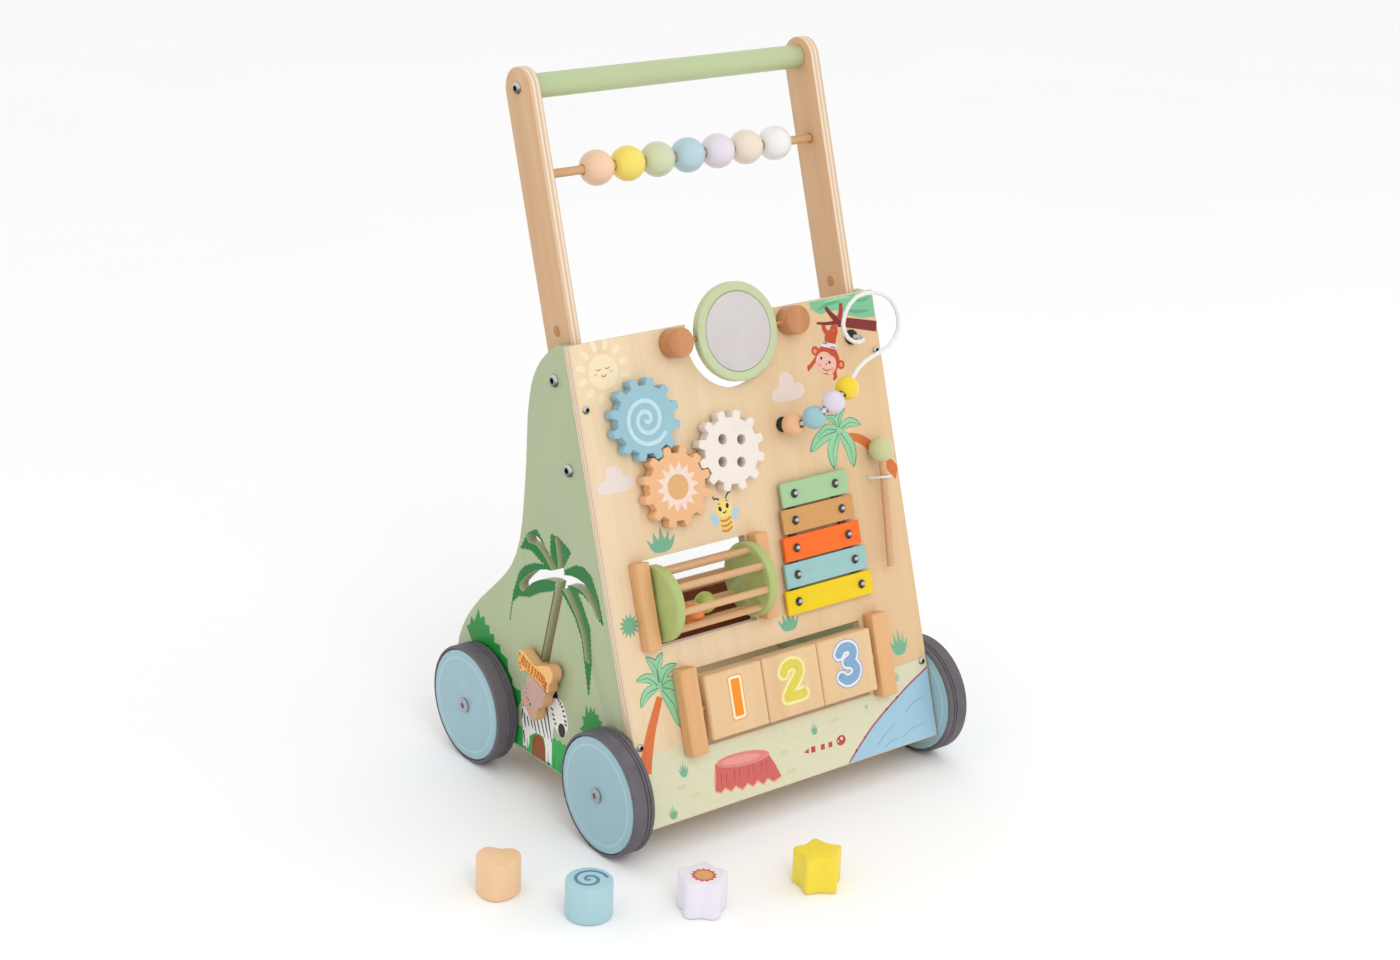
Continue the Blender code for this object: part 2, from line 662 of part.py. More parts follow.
def make_wire():
    fine = wire_points()
    wire = tube("bead_wire", [tuple(p) for p in fine[::4] if p is not fine[-1]] + [tuple(fine[-1])], WIRE_R)
    put(wire, PANEL)
    collars = []
    for spot in (WIRE_ROUTE[0], WIRE_ROUTE[-1]):
        collar = cylinder("collar", 0.0062, GAP, 0.0020, 20)
        collars.append(put(collar, on_panel(spot[0], spot[1])))
    finish(boolean(wire, collars, "UNION"), "bead_wire", "white")
    colours = ("apricot", "sky", "lilac", "yellow")
    for i, (distance, colour) in enumerate(zip(WIRE_BEAD_AT, colours)):
        near, _ = along_wire(fine, distance - 0.0070)
        far, _ = along_wire(fine, distance + 0.0070)
        middle, _ = along_wire(fine, distance)
        heading = (far - near).normalized()
        centre = middle.lerp((near + far) / 2, 0.5)
        bead = turned("wire_bead", bead_profile(WIRE_BEAD_R, WIRE_BEAD_BORE), 12, True)
        turn = heading.to_track_quat("Z", "Y").to_matrix().to_4x4()
        put(bead, PANEL @ Matrix.Translation(centre) @ turn)
        finish(bead, "wire_bead_%d" % (i + 1), colour)


def bracket(name, left, right, low, high):
    piece = block(name, (right - left, high - low, 0.0120 - GAP))
    soften(piece, 0.0007)
    return put(piece, on_panel((left + right) / 2, (low + high) / 2, 0.0060 + GAP / 2))


def make_drum():
    left, right = DRUM_U
    rows = (("drum_bracket_left", left - 0.0147, left - 0.0025, left - 0.0025),
            ("drum_bracket_right", right + 0.0025, right + 0.0147, right + 0.0025))
    for name, start, end, face in rows:
        holder = bracket(name, start, end, 0.1360, 0.2045)
        bore = cylinder(name + "_bore", 0.0023, -0.0092, 0.0092, 16)
        put(bore, on_panel(face, DRUM_V, DRUM_N) @ ALONG_X)
        finish(boolean(holder, [bore]), name, "beech")
    cage = cylinder("drum_cage", DRUM_R, 0.0, DRUM_DISC_T, 28)
    soften(cage, 0.0010)
    put(cage, on_panel(left, DRUM_V, DRUM_N) @ ALONG_X)
    other = cylinder("drum_disc", DRUM_R, 0.0, DRUM_DISC_T, 28)
    soften(other, 0.0010)
    parts = [put(other, on_panel(right - DRUM_DISC_T, DRUM_V, DRUM_N) @ ALONG_X)]
    for i in range(DRUM_DOWELS):
        angle = DRUM_PHASE + 2 * pi * i / DRUM_DOWELS
        spot = (DRUM_V + DRUM_DOWEL_RING * sin(angle), DRUM_N + DRUM_DOWEL_RING * cos(angle))
        dowel = cylinder("dowel", DRUM_DOWEL_R, DRUM_DISC_T - 0.0030, right - left - DRUM_DISC_T + 0.0030, 8)
        parts.append(put(dowel, on_panel(left, *spot) @ ALONG_X))
    for face in (left, right):
        stub = cylinder("drum_pin", 0.0020, -0.0095, 0.0095, 16)
        parts.append(put(stub, on_panel(face, DRUM_V, DRUM_N) @ ALONG_X))
    finish(boolean(cage, parts, "UNION"), "drum_cage", "pale_green")


def make_number_blocks():
    frame = bracket("block_frame", -0.1055, -0.0893, 0.0475, 0.1165)
    other = bracket("block_bracket", 0.0893, 0.1055, 0.0475, 0.1165)
    axle = cylinder("block_axle", 0.0020, -0.0950, 0.0950, 16)
    put(axle, on_panel(0.0, BLOCK_V, BLOCK_N) @ ALONG_X)
    finish(boolean(frame, [axle, other], "UNION"), "block_frame", "beech")
    for i in range(3):
        tile = block("number_block", BLOCK_SIZE)
        soften(tile, 0.0010)
        put(tile, on_panel(BLOCK_PITCH * (i - 1), BLOCK_V, BLOCK_N))
        bore = cylinder("tile_bore", 0.0023, -0.0400, 0.0400, 16)
        put(bore, on_panel(BLOCK_PITCH * (i - 1), BLOCK_V, BLOCK_N) @ ALONG_X)
        finish(boolean(tile, [bore]), "number_block_%d" % (i + 1), "birch")


# ---- wheels and fasteners -----------------------------------------------------------------
def wheel_places():
    for end, y in (("front", -WHEEL_Y), ("rear", WHEEL_Y)):
        for side, x in (("left", -WHEEL_X), ("right", WHEEL_X)):
            yield "%s_%s" % (end, side), x, y


def make_wheels():
    half = WHEEL_W / 2
    centre_z = WHEEL_R * cos(pi / WHEEL_FACETS)
    for label, x, y in wheel_places():
        outer = 1 if x > 0 else -1
        outwards = Matrix.Rotation(outer * pi / 2, 4, "Y")
        flat_down = Matrix.Rotation(pi / WHEEL_FACETS, 4, "Z")
        place = Matrix.Translation(SET_SHIFT + Vector((x, y, centre_z))) @ outwards @ flat_down
        edge = WHEEL_DISC_R - 0.0004
        disc = turned("wheel_disc", [(edge - 0.0012, half), (edge, half - 0.0012), (edge, -half),
                                     (0.0033, -half), (0.0033, half)], WHEEL_FACETS, True)
        finish(put(disc, place), "wheel_disc_" + label, "sky")
        tread = [(WHEEL_R - 0.0008, half - 0.0006), (WHEEL_R, half - 0.0020), (WHEEL_R, -half + 0.0020),
                 (WHEEL_R - 0.0008, -half), (WHEEL_DISC_R, -half), (WHEEL_DISC_R, half - 0.0006)]
        tyre = turned("wheel_tyre", tread, WHEEL_FACETS, True)
        finish(put(tyre, place), "wheel_tyre_" + label, "rubber")


def make_wheel_bolts():
    """Socket bolt through each wheel and its side panel, with a barrel nut inside."""
    shank = 0.0030
    head = 0.0062
    face = WHEEL_X + WHEEL_W / 2
    length = face - SIDE_IN + GAP
    profile = [(0.0, 0.0008), (head * 0.40, 0.0008), (head * 0.40, 0.0022), (head * 0.80, 0.0022),
               (head, 0.0010), (head, GAP), (shank, GAP), (shank, -length), (head * 0.85, -length),
               (head * 0.85, -length - 0.0030), (0.0, -length - 0.0030)]
    for label, x, y in wheel_places():
        outer = 1 if x > 0 else -1
        bolt = turned("wheel_bolt", profile, 10)
        spot = Vector((outer * face, y, WHEEL_R * cos(pi / WHEEL_FACETS)))
        put(bolt, Matrix.Translation(SET_SHIFT + spot) @ Matrix.Rotation(outer * pi / 2, 4, "Y"))
        finish(bolt, "wheel_bolt_" + label, "steel", 1.0)


# ---- sliders in the maze, and the sorter blocks -------------------------------------------
UPPER_ANIMAL = (
    (-0.0192, 0.0063), (-0.0159, 0.0114), (-0.0088, 0.0103), (-0.0031, 0.0074), (0.0045, 0.0048),
    (0.0114, 0.0079), (0.0232, 0.0117), (0.0291, 0.0084), (0.0293, 0.0017), (0.0245, -0.0043),
    (0.0238, -0.0115), (0.0174, -0.0106), (0.0098, -0.0076), (0.0028, -0.0061), (-0.0028, -0.0049),
    (-0.0085, -0.0040), (-0.0135, -0.0071), (-0.0181, -0.0071), (-0.0176, 0.0000),
)
LOWER_ANIMAL = (
    (0.0012, 0.0228), (0.0034, 0.0262), (0.0099, 0.0256), (0.0169, 0.0236), (0.0248, 0.0204),
    (0.0291, 0.0183), (0.0263, 0.0137), (0.0245, 0.0061), (0.0161, -0.0008), (0.0157, -0.0085),
    (0.0099, -0.0130), (0.0050, -0.0094), (0.0015, -0.0047), (-0.0046, -0.0020), (-0.0061, 0.0044),
    (-0.0026, 0.0114), (0.0018, 0.0171),
)


def rounded(points, steps=2):
    """Closed smooth outline through the points."""
    ring_points = [points[-1], *points, points[0], points[1]]
    curve = smooth(ring_points, steps)
    return curve[steps:-steps - 1]


def trunk_place(z):
    """(y, z) on the trunk channel's middle line at a height."""
    share = (z - TRUNK_FOOT[1]) / (CROWN[1] - TRUNK_FOOT[1])
    return TRUNK_FOOT[0] + share * (CROWN[0] - TRUNK_FOOT[0]), z


def make_sliders():
    outer, inner = SLIDER_FACE
    depth = SIDE_T + 0.0008
    profile = [(0.0, inner + 0.0030), (SLIDER_PIN_R, inner + 0.0030), (SLIDER_PIN_R, -depth),
               (0.0070, -depth), (0.0070, -depth - 0.0030), (0.0, -depth - 0.0030)]
    rows = ((SLIDER_Z[0], UPPER_ANIMAL, "slider_upper", "apricot"),
            (SLIDER_Z[1], LOWER_ANIMAL, "slider_lower", "peach"))
    for z, silhouette, name, colour in rows:
        place = on_left_face(*trunk_place(z))
        plate = outline(name, [rounded(silhouette)], outer - inner)
        put(plate, place @ Matrix.Translation((0.0, 0.0, inner)))
        stem = turned(name + "_stem", profile, 16)
        finish(boolean(plate, [put(stem, place)], "UNION"), name, colour)


def make_sorter_blocks():
    colours = {"heart": "apricot", "round": "sky", "flower": "lilac", "star": "yellow"}
    for shape, (x, y, turn) in SORT_FLOOR.items():
        piece = outline("shape_" + shape, [sorter_outline(shape, SORT_R)], SORT_H)
        place = Matrix.Translation(SET_SHIFT + Vector((x, y, 0.0))) @ Matrix.Rotation(turn, 4, "Z")
        finish(put(piece, place), "shape_" + shape, colours[shape])


def main():
    make_side_panels()
    make_front_panel()
    make_bin_base()
    make_posts()
    make_handle()
    make_abacus_beads()
    make_mirror()
    make_gears()
    make_chimes()
    make_chime_mount()
    make_mallet()
    make_wire()
    make_drum()
    make_number_blocks()
    make_wheels()
    make_wheel_bolts()
    make_sliders()
    make_sorter_blocks()


main()
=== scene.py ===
"""Looks for the wooden baby walker: lacquered plywood, painted toys, printed pictures and fastenings.

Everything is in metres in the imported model's frame. Panel places are (u, v, n): across from the
middle, up the slope from the lower edge, and out of the face. Side places are (y, z), with y
counted from the walker's own middle. The prints alone are drawn in millimetres.
"""
import json
from math import atan2, cos, dist, pi, radians, sin

import bmesh
import bpy
from mathutils import Matrix, Vector


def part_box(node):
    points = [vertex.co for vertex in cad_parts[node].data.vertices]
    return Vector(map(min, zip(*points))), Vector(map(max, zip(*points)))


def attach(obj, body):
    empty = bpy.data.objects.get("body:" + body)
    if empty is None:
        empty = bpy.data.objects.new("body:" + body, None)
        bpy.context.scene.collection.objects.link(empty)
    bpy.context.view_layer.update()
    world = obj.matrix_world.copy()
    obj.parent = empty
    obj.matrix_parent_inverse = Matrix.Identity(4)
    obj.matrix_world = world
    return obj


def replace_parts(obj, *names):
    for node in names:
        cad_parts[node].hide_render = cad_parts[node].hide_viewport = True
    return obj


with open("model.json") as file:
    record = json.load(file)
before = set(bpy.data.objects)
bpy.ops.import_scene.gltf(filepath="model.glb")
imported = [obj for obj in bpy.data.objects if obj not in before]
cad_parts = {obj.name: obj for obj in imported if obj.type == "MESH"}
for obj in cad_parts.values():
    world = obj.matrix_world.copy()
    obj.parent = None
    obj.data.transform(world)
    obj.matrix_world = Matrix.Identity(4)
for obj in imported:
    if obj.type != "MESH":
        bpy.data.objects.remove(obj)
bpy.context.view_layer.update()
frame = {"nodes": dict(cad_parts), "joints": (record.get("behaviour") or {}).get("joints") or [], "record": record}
NODES = frame["nodes"]
BODY_OF = {node: body for body, nodes in frame["record"]["behaviour"]["bodies"].items() for node in nodes}
JOINTS = {joint["name"]: joint for joint in frame["joints"]}
SIDES = (("left", -1), ("right", 1))

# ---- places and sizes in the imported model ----
LEAN = radians(18.06)
PANEL_T = 0.0089
PANEL_FOOT_Y = -0.1320
PANEL_LOW, PANEL_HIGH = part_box("front_panel")
FOOT = Vector(((PANEL_LOW.x + PANEL_HIGH.x) / 2, PANEL_LOW.y, PANEL_LOW.z + PANEL_T * sin(LEAN)))
PANEL = Matrix.Translation(FOOT) @ Matrix.Rotation(pi / 2 - LEAN, 4, "X")
MIDDLE = Vector((FOOT.x, FOOT.y - PANEL_FOOT_Y, 0.0))
SIDE_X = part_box("side_panel_left")[0].x
ALONG_X = Matrix.Rotation(pi / 2, 4, "Y")
GRAIN_UP_SLOPE = (LEAN, 0.0, 0.0)
GRAIN_UP = (0.0, 0.0, 0.0)
GRAIN_ACROSS = (0.0, pi / 2, 0.0)
PRINT = 0.00005      # top of a print's lowest level over the face
LAYER = 0.000040     # from one level to the next
SETTLE = 0.0000002   # from one outline of a level to the next
MM = 0.001           # prints are drawn in millimetres
EDGE = 149.2         # how far the panel's prints reach from its middle
NUMBER_FACE, GEAR_FACE = 0.0130, 0.0110
UPPER_PIN, LOWER_PIN = (0.0116, 0.1120), (0.0200, 0.0801)
CHIME_U, CHIME_V, CHIME_TOP = 0.0557, (0.2276, 0.2064, 0.1846, 0.1635, 0.1422), 0.0084
CHIME_SCREW_U, CHIME_SCREW_STEP = 0.0213, 0.0029
BIN_FLOOR_TOP, BIN_RAIL_T = 0.0356, 0.0091
DRUM_DISC_T, DRUM_BALL_R = 0.0175, 0.0085
ROD_BEAD_R, ROD_BEAD_BORE, WIRE_BEAD_R, WIRE_BEAD_BORE = 0.0140, 0.0037, 0.0095, 0.0030
WHEEL_RING, TYRE_BORE = (0.0393, 0.0410), 0.0473
WIRE_CUP_N = 0.0022
FLOOR_REACH, FLOOR_Z = 6.0, -0.0004
WIRE_FEET = {"wire_low": (0.0373, 0.2830), "wire_high": (0.1203, 0.3404)}
MALLET_HEAD, MALLET_HEAD_R = (0.1259, 0.2467, 0.0113), 0.0110
POST_BOLT_V, BAR_BOLT_V, PLUG_V, POST_N = (0.2810, 0.3505), 0.5715, 0.3868, -0.0283
PANEL_SCREW_U, PANEL_SCREW_V = 0.1447, (0.0646, 0.3260)
STUDIO = 0.87        # a finish's own tone against its tone under the lights


def on_panel(u, v, n=0.0):
    return PANEL @ Matrix.Translation((u, v, n))


def on_left_face(out=0.0):
    """Plane of the left panel's outer face: local X is -y, local Y is z and local Z points outwards."""
    turn = Matrix(((0, 0, -1, 0), (-1, 0, 0, 0), (0, 1, 0, 0), (0, 0, 0, 1)))
    return Matrix.Translation((SIDE_X - out, MIDDLE.y, 0.0)) @ turn


def middle_of(node):
    low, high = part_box(node)
    return (low + high) / 2


def srgb(red, green, blue, strength=1.0):
    """Linear colour from 0-255 display values as they show under the studio light."""
    return tuple(strength * STUDIO * (c / 255 / 12.92 if c < 11 else ((c / 255 + 0.055) / 1.055) ** 2.4)
                 for c in (red, green, blue)) + (1.0,)


# ---- materials ----
def add(tree, kind, inputs=None, **settings):
    node = tree.nodes.new("ShaderNode" + kind)
    for name, value in settings.items():
        setattr(node, name, value)
    for name, value in (inputs or {}).items():
        if isinstance(value, bpy.types.NodeSocket):
            tree.links.new(value, node.inputs[name])
        else:
            node.inputs[name].default_value = value
    return node


def blank(name, roughness, metallic=0.0, coat=0.0):
    """New material: itself, its node tree, its shader and the place on the piece."""
    made = bpy.data.materials.new(name)
    made.use_nodes = True
    tree = made.node_tree
    shader = tree.nodes["Principled BSDF"]
    for socket, value in (("Roughness", roughness), ("Metallic", metallic), ("Coat Weight", coat),
                          ("Coat Roughness", 0.2), ("Specular IOR Level", 0.3)):
        shader.inputs[socket].default_value = value
    return made, tree, shader, add(tree, "TexCoord").outputs["Object"]


def surface(tree, shader, tone, height=None, strength=0.1, distance=0.0002):
    """Gives the shader its tone and, from height, its fine relief."""
    tree.links.new(tone, shader.inputs["Base Color"])
    if height is not None:
        bump = add(tree, "Bump", {"Height": height, "Strength": strength, "Distance": distance})
        tree.links.new(bump.outputs[0], shader.inputs["Normal"])


def mixed(tree, factor, first, second):
    node = add(tree, "Mix", data_type="RGBA")
    for socket, value in ((node.inputs[0], factor), (node.inputs[6], first), (node.inputs[7], second)):
        if isinstance(value, bpy.types.NodeSocket):
            tree.links.new(value, socket)
        else:
            socket.default_value = value
    return node.outputs[2]


def maths(tree, operation, *values):
    return add(tree, "Math", dict(enumerate(values)), operation=operation).outputs[0]


def noise(tree, vector, scale, detail=2.0, **more):
    return add(tree, "TexNoise", {"Vector": vector, "Scale": scale, "Detail": detail, **more}).outputs["Fac"]


def ramp(tree, factor, low, high):
    return add(tree, "MapRange", {"Value": factor, "From Min": low, "From Max": high}).outputs["Result"]


def share(tree, factor, low, high, most):
    """From 0 to most as the factor goes from low to high."""
    return maths(tree, "MULTIPLY", ramp(tree, factor, low, high), most)


def dot(tree, vector, axis):
    return add(tree, "VectorMath", {0: vector, 1: axis}, operation="DOT_PRODUCT").outputs["Value"]


def grained(tree, here, grain, squeeze):
    """Places with the grain turned upright, and the same squeezed along it for streaks."""
    upright = add(tree, "Mapping", {"Vector": here, "Rotation": grain}).outputs[0]
    return upright, add(tree, "Mapping", {"Vector": upright, "Scale": (1.0, 1.0, squeeze)}).outputs[0]


def wood(name, light, dark, grain=GRAIN_UP_SLOPE, ply_axis=None, ply_t=PANEL_T, contrast=0.55, right_shade=0.0):
    """Sanded lacquered wood with long streaks; edges show plies when ply_axis gives the sheet's normal.

    The right-hand deepening is painted shade: the tone grows darker and more tan towards the right, where the
    light falls off.
    """
    made, tree, shader, here = blank(name, 0.5, coat=0.1)
    upright, long = grained(tree, here, grain, 0.055)
    streak = share(tree, noise(tree, long, 55.0, 3.0, Distortion=0.6), 0.35, 0.72, contrast)
    colour = mixed(tree, streak, srgb(*light), srgb(*dark))
    deep = srgb(*dark, strength=0.86)
    fibre = noise(tree, long, 420.0)
    colour = mixed(tree, share(tree, fibre, 0.42, 0.62, 0.16 * contrast), colour, deep)
    colour = mixed(tree, share(tree, noise(tree, upright, 9.0), 0.3, 0.75, 0.10), colour, deep)
    # Painted shade: darker and more tan towards the right-hand side, where the light falls off across the panel.
    if right_shade:
        across = add(tree, "SeparateXYZ", {0: here}).outputs["X"]
        painted_right_shade = share(tree, across, MIDDLE.x - 0.06, MIDDLE.x + 0.16, right_shade)
        colour = mixed(tree, painted_right_shade, colour, srgb(226, 178, 122))
    if ply_axis is not None:
        facing = maths(tree, "ABSOLUTE", dot(tree, here.node.outputs["Normal"], ply_axis))
        wave = maths(tree, "SINE", maths(tree, "MULTIPLY", dot(tree, here, ply_axis), 2 * pi * 2.5 / ply_t))
        plies = mixed(tree, ramp(tree, wave, -0.25, 0.25), srgb(242, 222, 200), srgb(222, 190, 154))
        colour = mixed(tree, maths(tree, "LESS_THAN", facing, 0.6), colour, plies)
    surface(tree, shader, colour, fibre, 0.12, 0.0003)
    return made


def paint(name, colour, rough=0.42, coat=0.2, grain=GRAIN_UP, rim=None):
    """Satin paint on wood: slight tone drift, a trace of grain under it and fine roller texture.

    rim draws a ring: its centre, the axes that count, its two radii and its colour.
    """
    made, tree, shader, here = blank(name, rough, coat=coat)
    under = noise(tree, grained(tree, here, grain, 0.07)[1], 160.0)
    deep = srgb(*colour, strength=0.88)
    painted = mixed(tree, share(tree, noise(tree, here, 14.0), 0.3, 0.75, 0.35), srgb(*colour), deep)
    painted = mixed(tree, share(tree, under, 0.45, 0.65, 0.18), painted, deep)
    if rim is not None:
        centre, axes, radii, ring_colour = rim
        offset = add(tree, "VectorMath", {0: here, 1: centre}, operation="SUBTRACT")
        flat = add(tree, "VectorMath", {0: offset.outputs[0], 1: axes}, operation="MULTIPLY")
        reach = add(tree, "VectorMath", {0: flat.outputs[0]}, operation="LENGTH").outputs["Value"]
        band = maths(tree, "MULTIPLY", maths(tree, "LESS_THAN", reach, radii[1]),
                     maths(tree, "GREATER_THAN", reach, radii[0]))
        painted = mixed(tree, band, painted, srgb(*ring_colour))
    surface(tree, shader, painted, maths(tree, "ADD", under, noise(tree, here, 1400.0, 1.0)))
    return made


def metal(name, colour, rough=0.28, horizon=0.0):
    """Brushed metal; horizon is how dark the room's lower half shows in it, as a painted reflection darkening
    faces turned downwards.
    """
    made, tree, shader, here = blank(name, rough, 1.0)
    scratch = noise(tree, here, 900.0, 3.0)
    tone = mixed(tree, ramp(tree, scratch, 0.3, 0.7), srgb(*colour), srgb(*colour, strength=0.8))
    if horizon:
        # Painted reflection: downward faces darken towards a dark room tone.
        upward = add(tree, "SeparateXYZ", {0: add(tree, "NewGeometry").outputs["Normal"]}).outputs["Z"]
        tone = mixed(tree, share(tree, upward, 0.25, -0.15, horizon), tone, srgb(40, 40, 42))
    surface(tree, shader, tone, scratch, 0.08)
    return made


def rubber(name, colour):
    made, tree, shader, here = blank(name, 0.62)
    dust = ramp(tree, noise(tree, here, 60.0, 4.0), 0.35, 0.7)
    tone = mixed(tree, dust, srgb(*colour), srgb(*colour, strength=0.78))
    surface(tree, shader, tone, noise(tree, here, 1800.0), 0.25)
    return made


INKS = {}


def ink(colour):
    """Printed ink: flat tone with faint mottling, over the lacquer."""
    if colour not in INKS:
        made, tree, shader, here = blank("ink_%d_%d_%d" % colour, 0.48, coat=0.1)
        mottle = share(tree, noise(tree, here, 260.0, 3.0), 0.35, 0.7, 0.3)
        surface(tree, shader, mixed(tree, mottle, srgb(*colour), srgb(*colour, strength=0.85)))
        INKS[colour] = made
    return INKS[colour]


X_AXIS = (1.0, 0.0, 0.0)
SLOPE_NORMAL = (0.0, -cos(LEAN), sin(LEAN))
SAGE = paint("sage_paint", (180, 193, 152))
# Front panel: painted shade deepens its right-hand side.
BIRCH_PANEL = wood("birch_panel", (244, 220, 184), (228, 195, 150), ply_axis=SLOPE_NORMAL, contrast=0.5,
                   right_shade=0.55)
BIRCH = wood("birch_boards", (240, 214, 176), (222, 186, 140), GRAIN_ACROSS)
POST_WOOD = wood("post_ply", (228, 188, 146), (208, 160, 116), ply_axis=X_AXIS, ply_t=0.0094)
ROD_WOOD = wood("rod_wood", (226, 184, 136), (200, 150, 104), GRAIN_ACROSS)
BEECH = wood("beech_blocks", (236, 184, 130), (218, 158, 106))
PEG_WOOD = wood("peg_wood", (212, 152, 102), (182, 118, 74), contrast=0.8)
TILE_WOOD = wood("tile_birch", (240, 206, 160), (224, 180, 130))
STICK_WOOD = wood("stick_wood", (226, 180, 132), (204, 152, 106))
PALE_GREEN = paint("pale_green_paint", (200, 211, 166), rough=0.38)
BAR_GREEN = paint("bar_green_paint", (192, 206, 158), rough=0.4, grain=GRAIN_ACROSS)
CAGE_GREEN = paint("cage_green_paint", (182, 196, 122), rough=0.38)
WHITE_WIRE = paint("white_wire", (242, 241, 238), rough=0.25, coat=0.5)
CORD = paint("white_cord", (238, 234, 228), rough=0.7, coat=0.0)
STEEL = metal("steel_screws", (190, 190, 192))
BOLT_STEEL = metal("bolt_steel", (225, 226, 228), 0.18, 0.8)
DARK_STEEL = metal("dark_steel", (92, 90, 92), 0.22)
BLACK = paint("black_ferrule", (22, 22, 24), rough=0.35)
RUBBER = rubber("grey_rubber", (110, 105, 111))
COLOURS = {"orange": (246, 192, 144), "yellow": (252, 218, 44), "green": (198, 206, 154),
           "sky": (158, 200, 212), "lilac": (230, 218, 232), "cream": (244, 222, 194), "white": (244, 242, 240)}


def mirror_material():
    made, tree, shader, here = blank("mirror_sheet", 0.14, 0.55)
    haze = ramp(tree, noise(tree, here, 30.0), 0.3, 0.7)
    surface(tree, shader, mixed(tree, haze, srgb(226, 220, 218), srgb(218, 211, 210)))
    return made


# ---- meshes ----
def link(obj):
    bpy.context.scene.collection.objects.link(obj)
    return obj


def baked(obj):
    """obj with its modifiers applied to its mesh."""
    bpy.context.view_layer.update()
    mesh = bpy.data.meshes.new_from_object(obj.evaluated_get(bpy.context.evaluated_depsgraph_get()))
    obj.modifiers.clear()
    obj.data = mesh
    return obj


def smooth_shaded(obj, angle=35):
    obj.data.shade_smooth()
    obj.data.set_sharp_from_angle(angle=radians(angle))
    return obj


def coated(obj, *materials):
    obj.data.materials.clear()
    for material in materials:
        obj.data.materials.append(material)
    return obj


def dress(obj, name, body, materials=()):
    obj.name = name
    obj.data.name = name
    if materials:
        coated(obj, *materials)
    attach(obj, body)
    return obj


def rounded(node, material, width=0.0005, segments=2, angle=38, choose=None):
    """A CAD node's shape with its edges rounded over, standing for the node.

    choose says from a face's centre whether it takes the second of two materials.
    """
    mesh = NODES[node].data.copy()
    bm = bmesh.new()
    bm.from_mesh(mesh)
    bmesh.ops.remove_doubles(bm, verts=bm.verts, dist=0.00001)
    bmesh.ops.dissolve_limit(bm, angle_limit=radians(1.0), verts=bm.verts, edges=bm.edges)
    bm.to_mesh(mesh)
    bm.free()
    obj = link(bpy.data.objects.new(node + "_finish", mesh))
    bevel = obj.modifiers.new("round", "BEVEL")
    bevel.width = width
    bevel.segments = segments
    bevel.limit_method = "ANGLE"
    bevel.angle_limit = radians(angle)
    baked(obj)
    dress(obj, node + "_finish", BODY_OF[node], material if choose else [material])
    if choose:
        for face in obj.data.polygons:
            face.material_index = int(choose(face.center))
    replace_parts(obj, node)
    return smooth_shaded(obj)


def turned(profile, facets, closed=False):
    """Solid of revolution about local Z from (radius, height) down the outer side."""
    mesh = bpy.data.meshes.new("turned")
    edges = [(i, i + 1) for i in range(len(profile) - 1)]
    if closed:
        edges.append((len(profile) - 1, 0))
    mesh.from_pydata([(r, 0.0, z) for r, z in profile], edges, [])
    obj = link(bpy.data.objects.new("turned", mesh))
    screw = obj.modifiers.new("turn", "SCREW")
    screw.angle = 2 * pi
    screw.steps = facets
    screw.render_steps = facets
    screw.use_merge_vertices = True
    screw.merge_threshold = 0.00001
    return baked(obj)


def stood(obj, matrix, name, body, material, angle=35):
    """Puts a turned piece in place and dresses it."""
    obj.data.transform(matrix)
    return smooth_shaded(dress(obj, name, body, [material]), angle)


def stand_in(obj, matrix, node, material, angle):
    """The same, with the piece standing for a CAD node."""
    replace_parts(stood(obj, matrix, node + "_finish", BODY_OF[node], material, angle), node)


def arc_profile(centre, radius, start, end, steps):
    return [(centre[0] + radius * cos(start + (end - start) * i / steps),
             centre[1] + radius * sin(start + (end - start) * i / steps)) for i in range(steps + 1)]


# ---- flat prints ----
def ellipse(x, y, wide, tall, tilt=0.0, steps=28):
    turn = radians(tilt)
    points = [(wide * cos(2 * pi * i / steps), tall * sin(2 * pi * i / steps)) for i in range(steps)]
    return [(x + a * cos(turn) - b * sin(turn), y + a * sin(turn) + b * cos(turn)) for a, b in points]


def curve_through(points, steps=5):
    """Catmull-Rom curve through the points."""
    ends = [points[0], *points, points[-1]]
    result = []
    for a, b, c, d in zip(ends, ends[1:], ends[2:], ends[3:]):
        for i in range(steps):
            t = i / steps
            weights = (-t + 2 * t * t - t ** 3, 2 - 5 * t * t + 3 * t ** 3,
                       t + 4 * t * t - 3 * t ** 3, -t * t + t ** 3)
            result.append(tuple(sum(w * p[k] for w, p in zip(weights, (a, b, c, d))) / 2 for k in (0, 1)))
    return result + [tuple(points[-1])]


def closed_through(points, steps=4):
    ring = [points[-1], *points, points[0], points[1]]
    return curve_through(ring, steps)[steps:-steps - 1]


def between(a, b, way):
    """Point at a share of the way from a to b."""
    return (a[0] + (b[0] - a[0]) * way, a[1] + (b[1] - a[1]) * way)


def aside(point, a, b, reach):
    """The point moved by reach to the left of the way from a to b."""
    heading = atan2(b[1] - a[1], b[0] - a[0])
    return (point[0] - sin(heading) * reach, point[1] + cos(heading) * reach)


def ribbon(points, start_width, end_width=None, mid_width=None):
    """Stroke along a smooth line, its width going from start to end, with blunt ends."""
    line = curve_through(points) if len(points) > 2 else [between(*points, i / 4) for i in range(5)]
    end_width = start_width if end_width is None else end_width
    left, right = [], []
    last = len(line) - 1
    for i, p in enumerate(line):
        way = i / last
        width = start_width + (end_width - start_width) * way
        if mid_width is not None:
            width += (mid_width - (start_width + end_width) / 2) * 4 * way * (1 - way)
        before, after = line[max(i - 1, 0)], line[min(i + 1, last)]
        left.append(aside(p, before, after, width / 2))
        right.append(aside(p, before, after, -width / 2))
    return left + right[::-1]


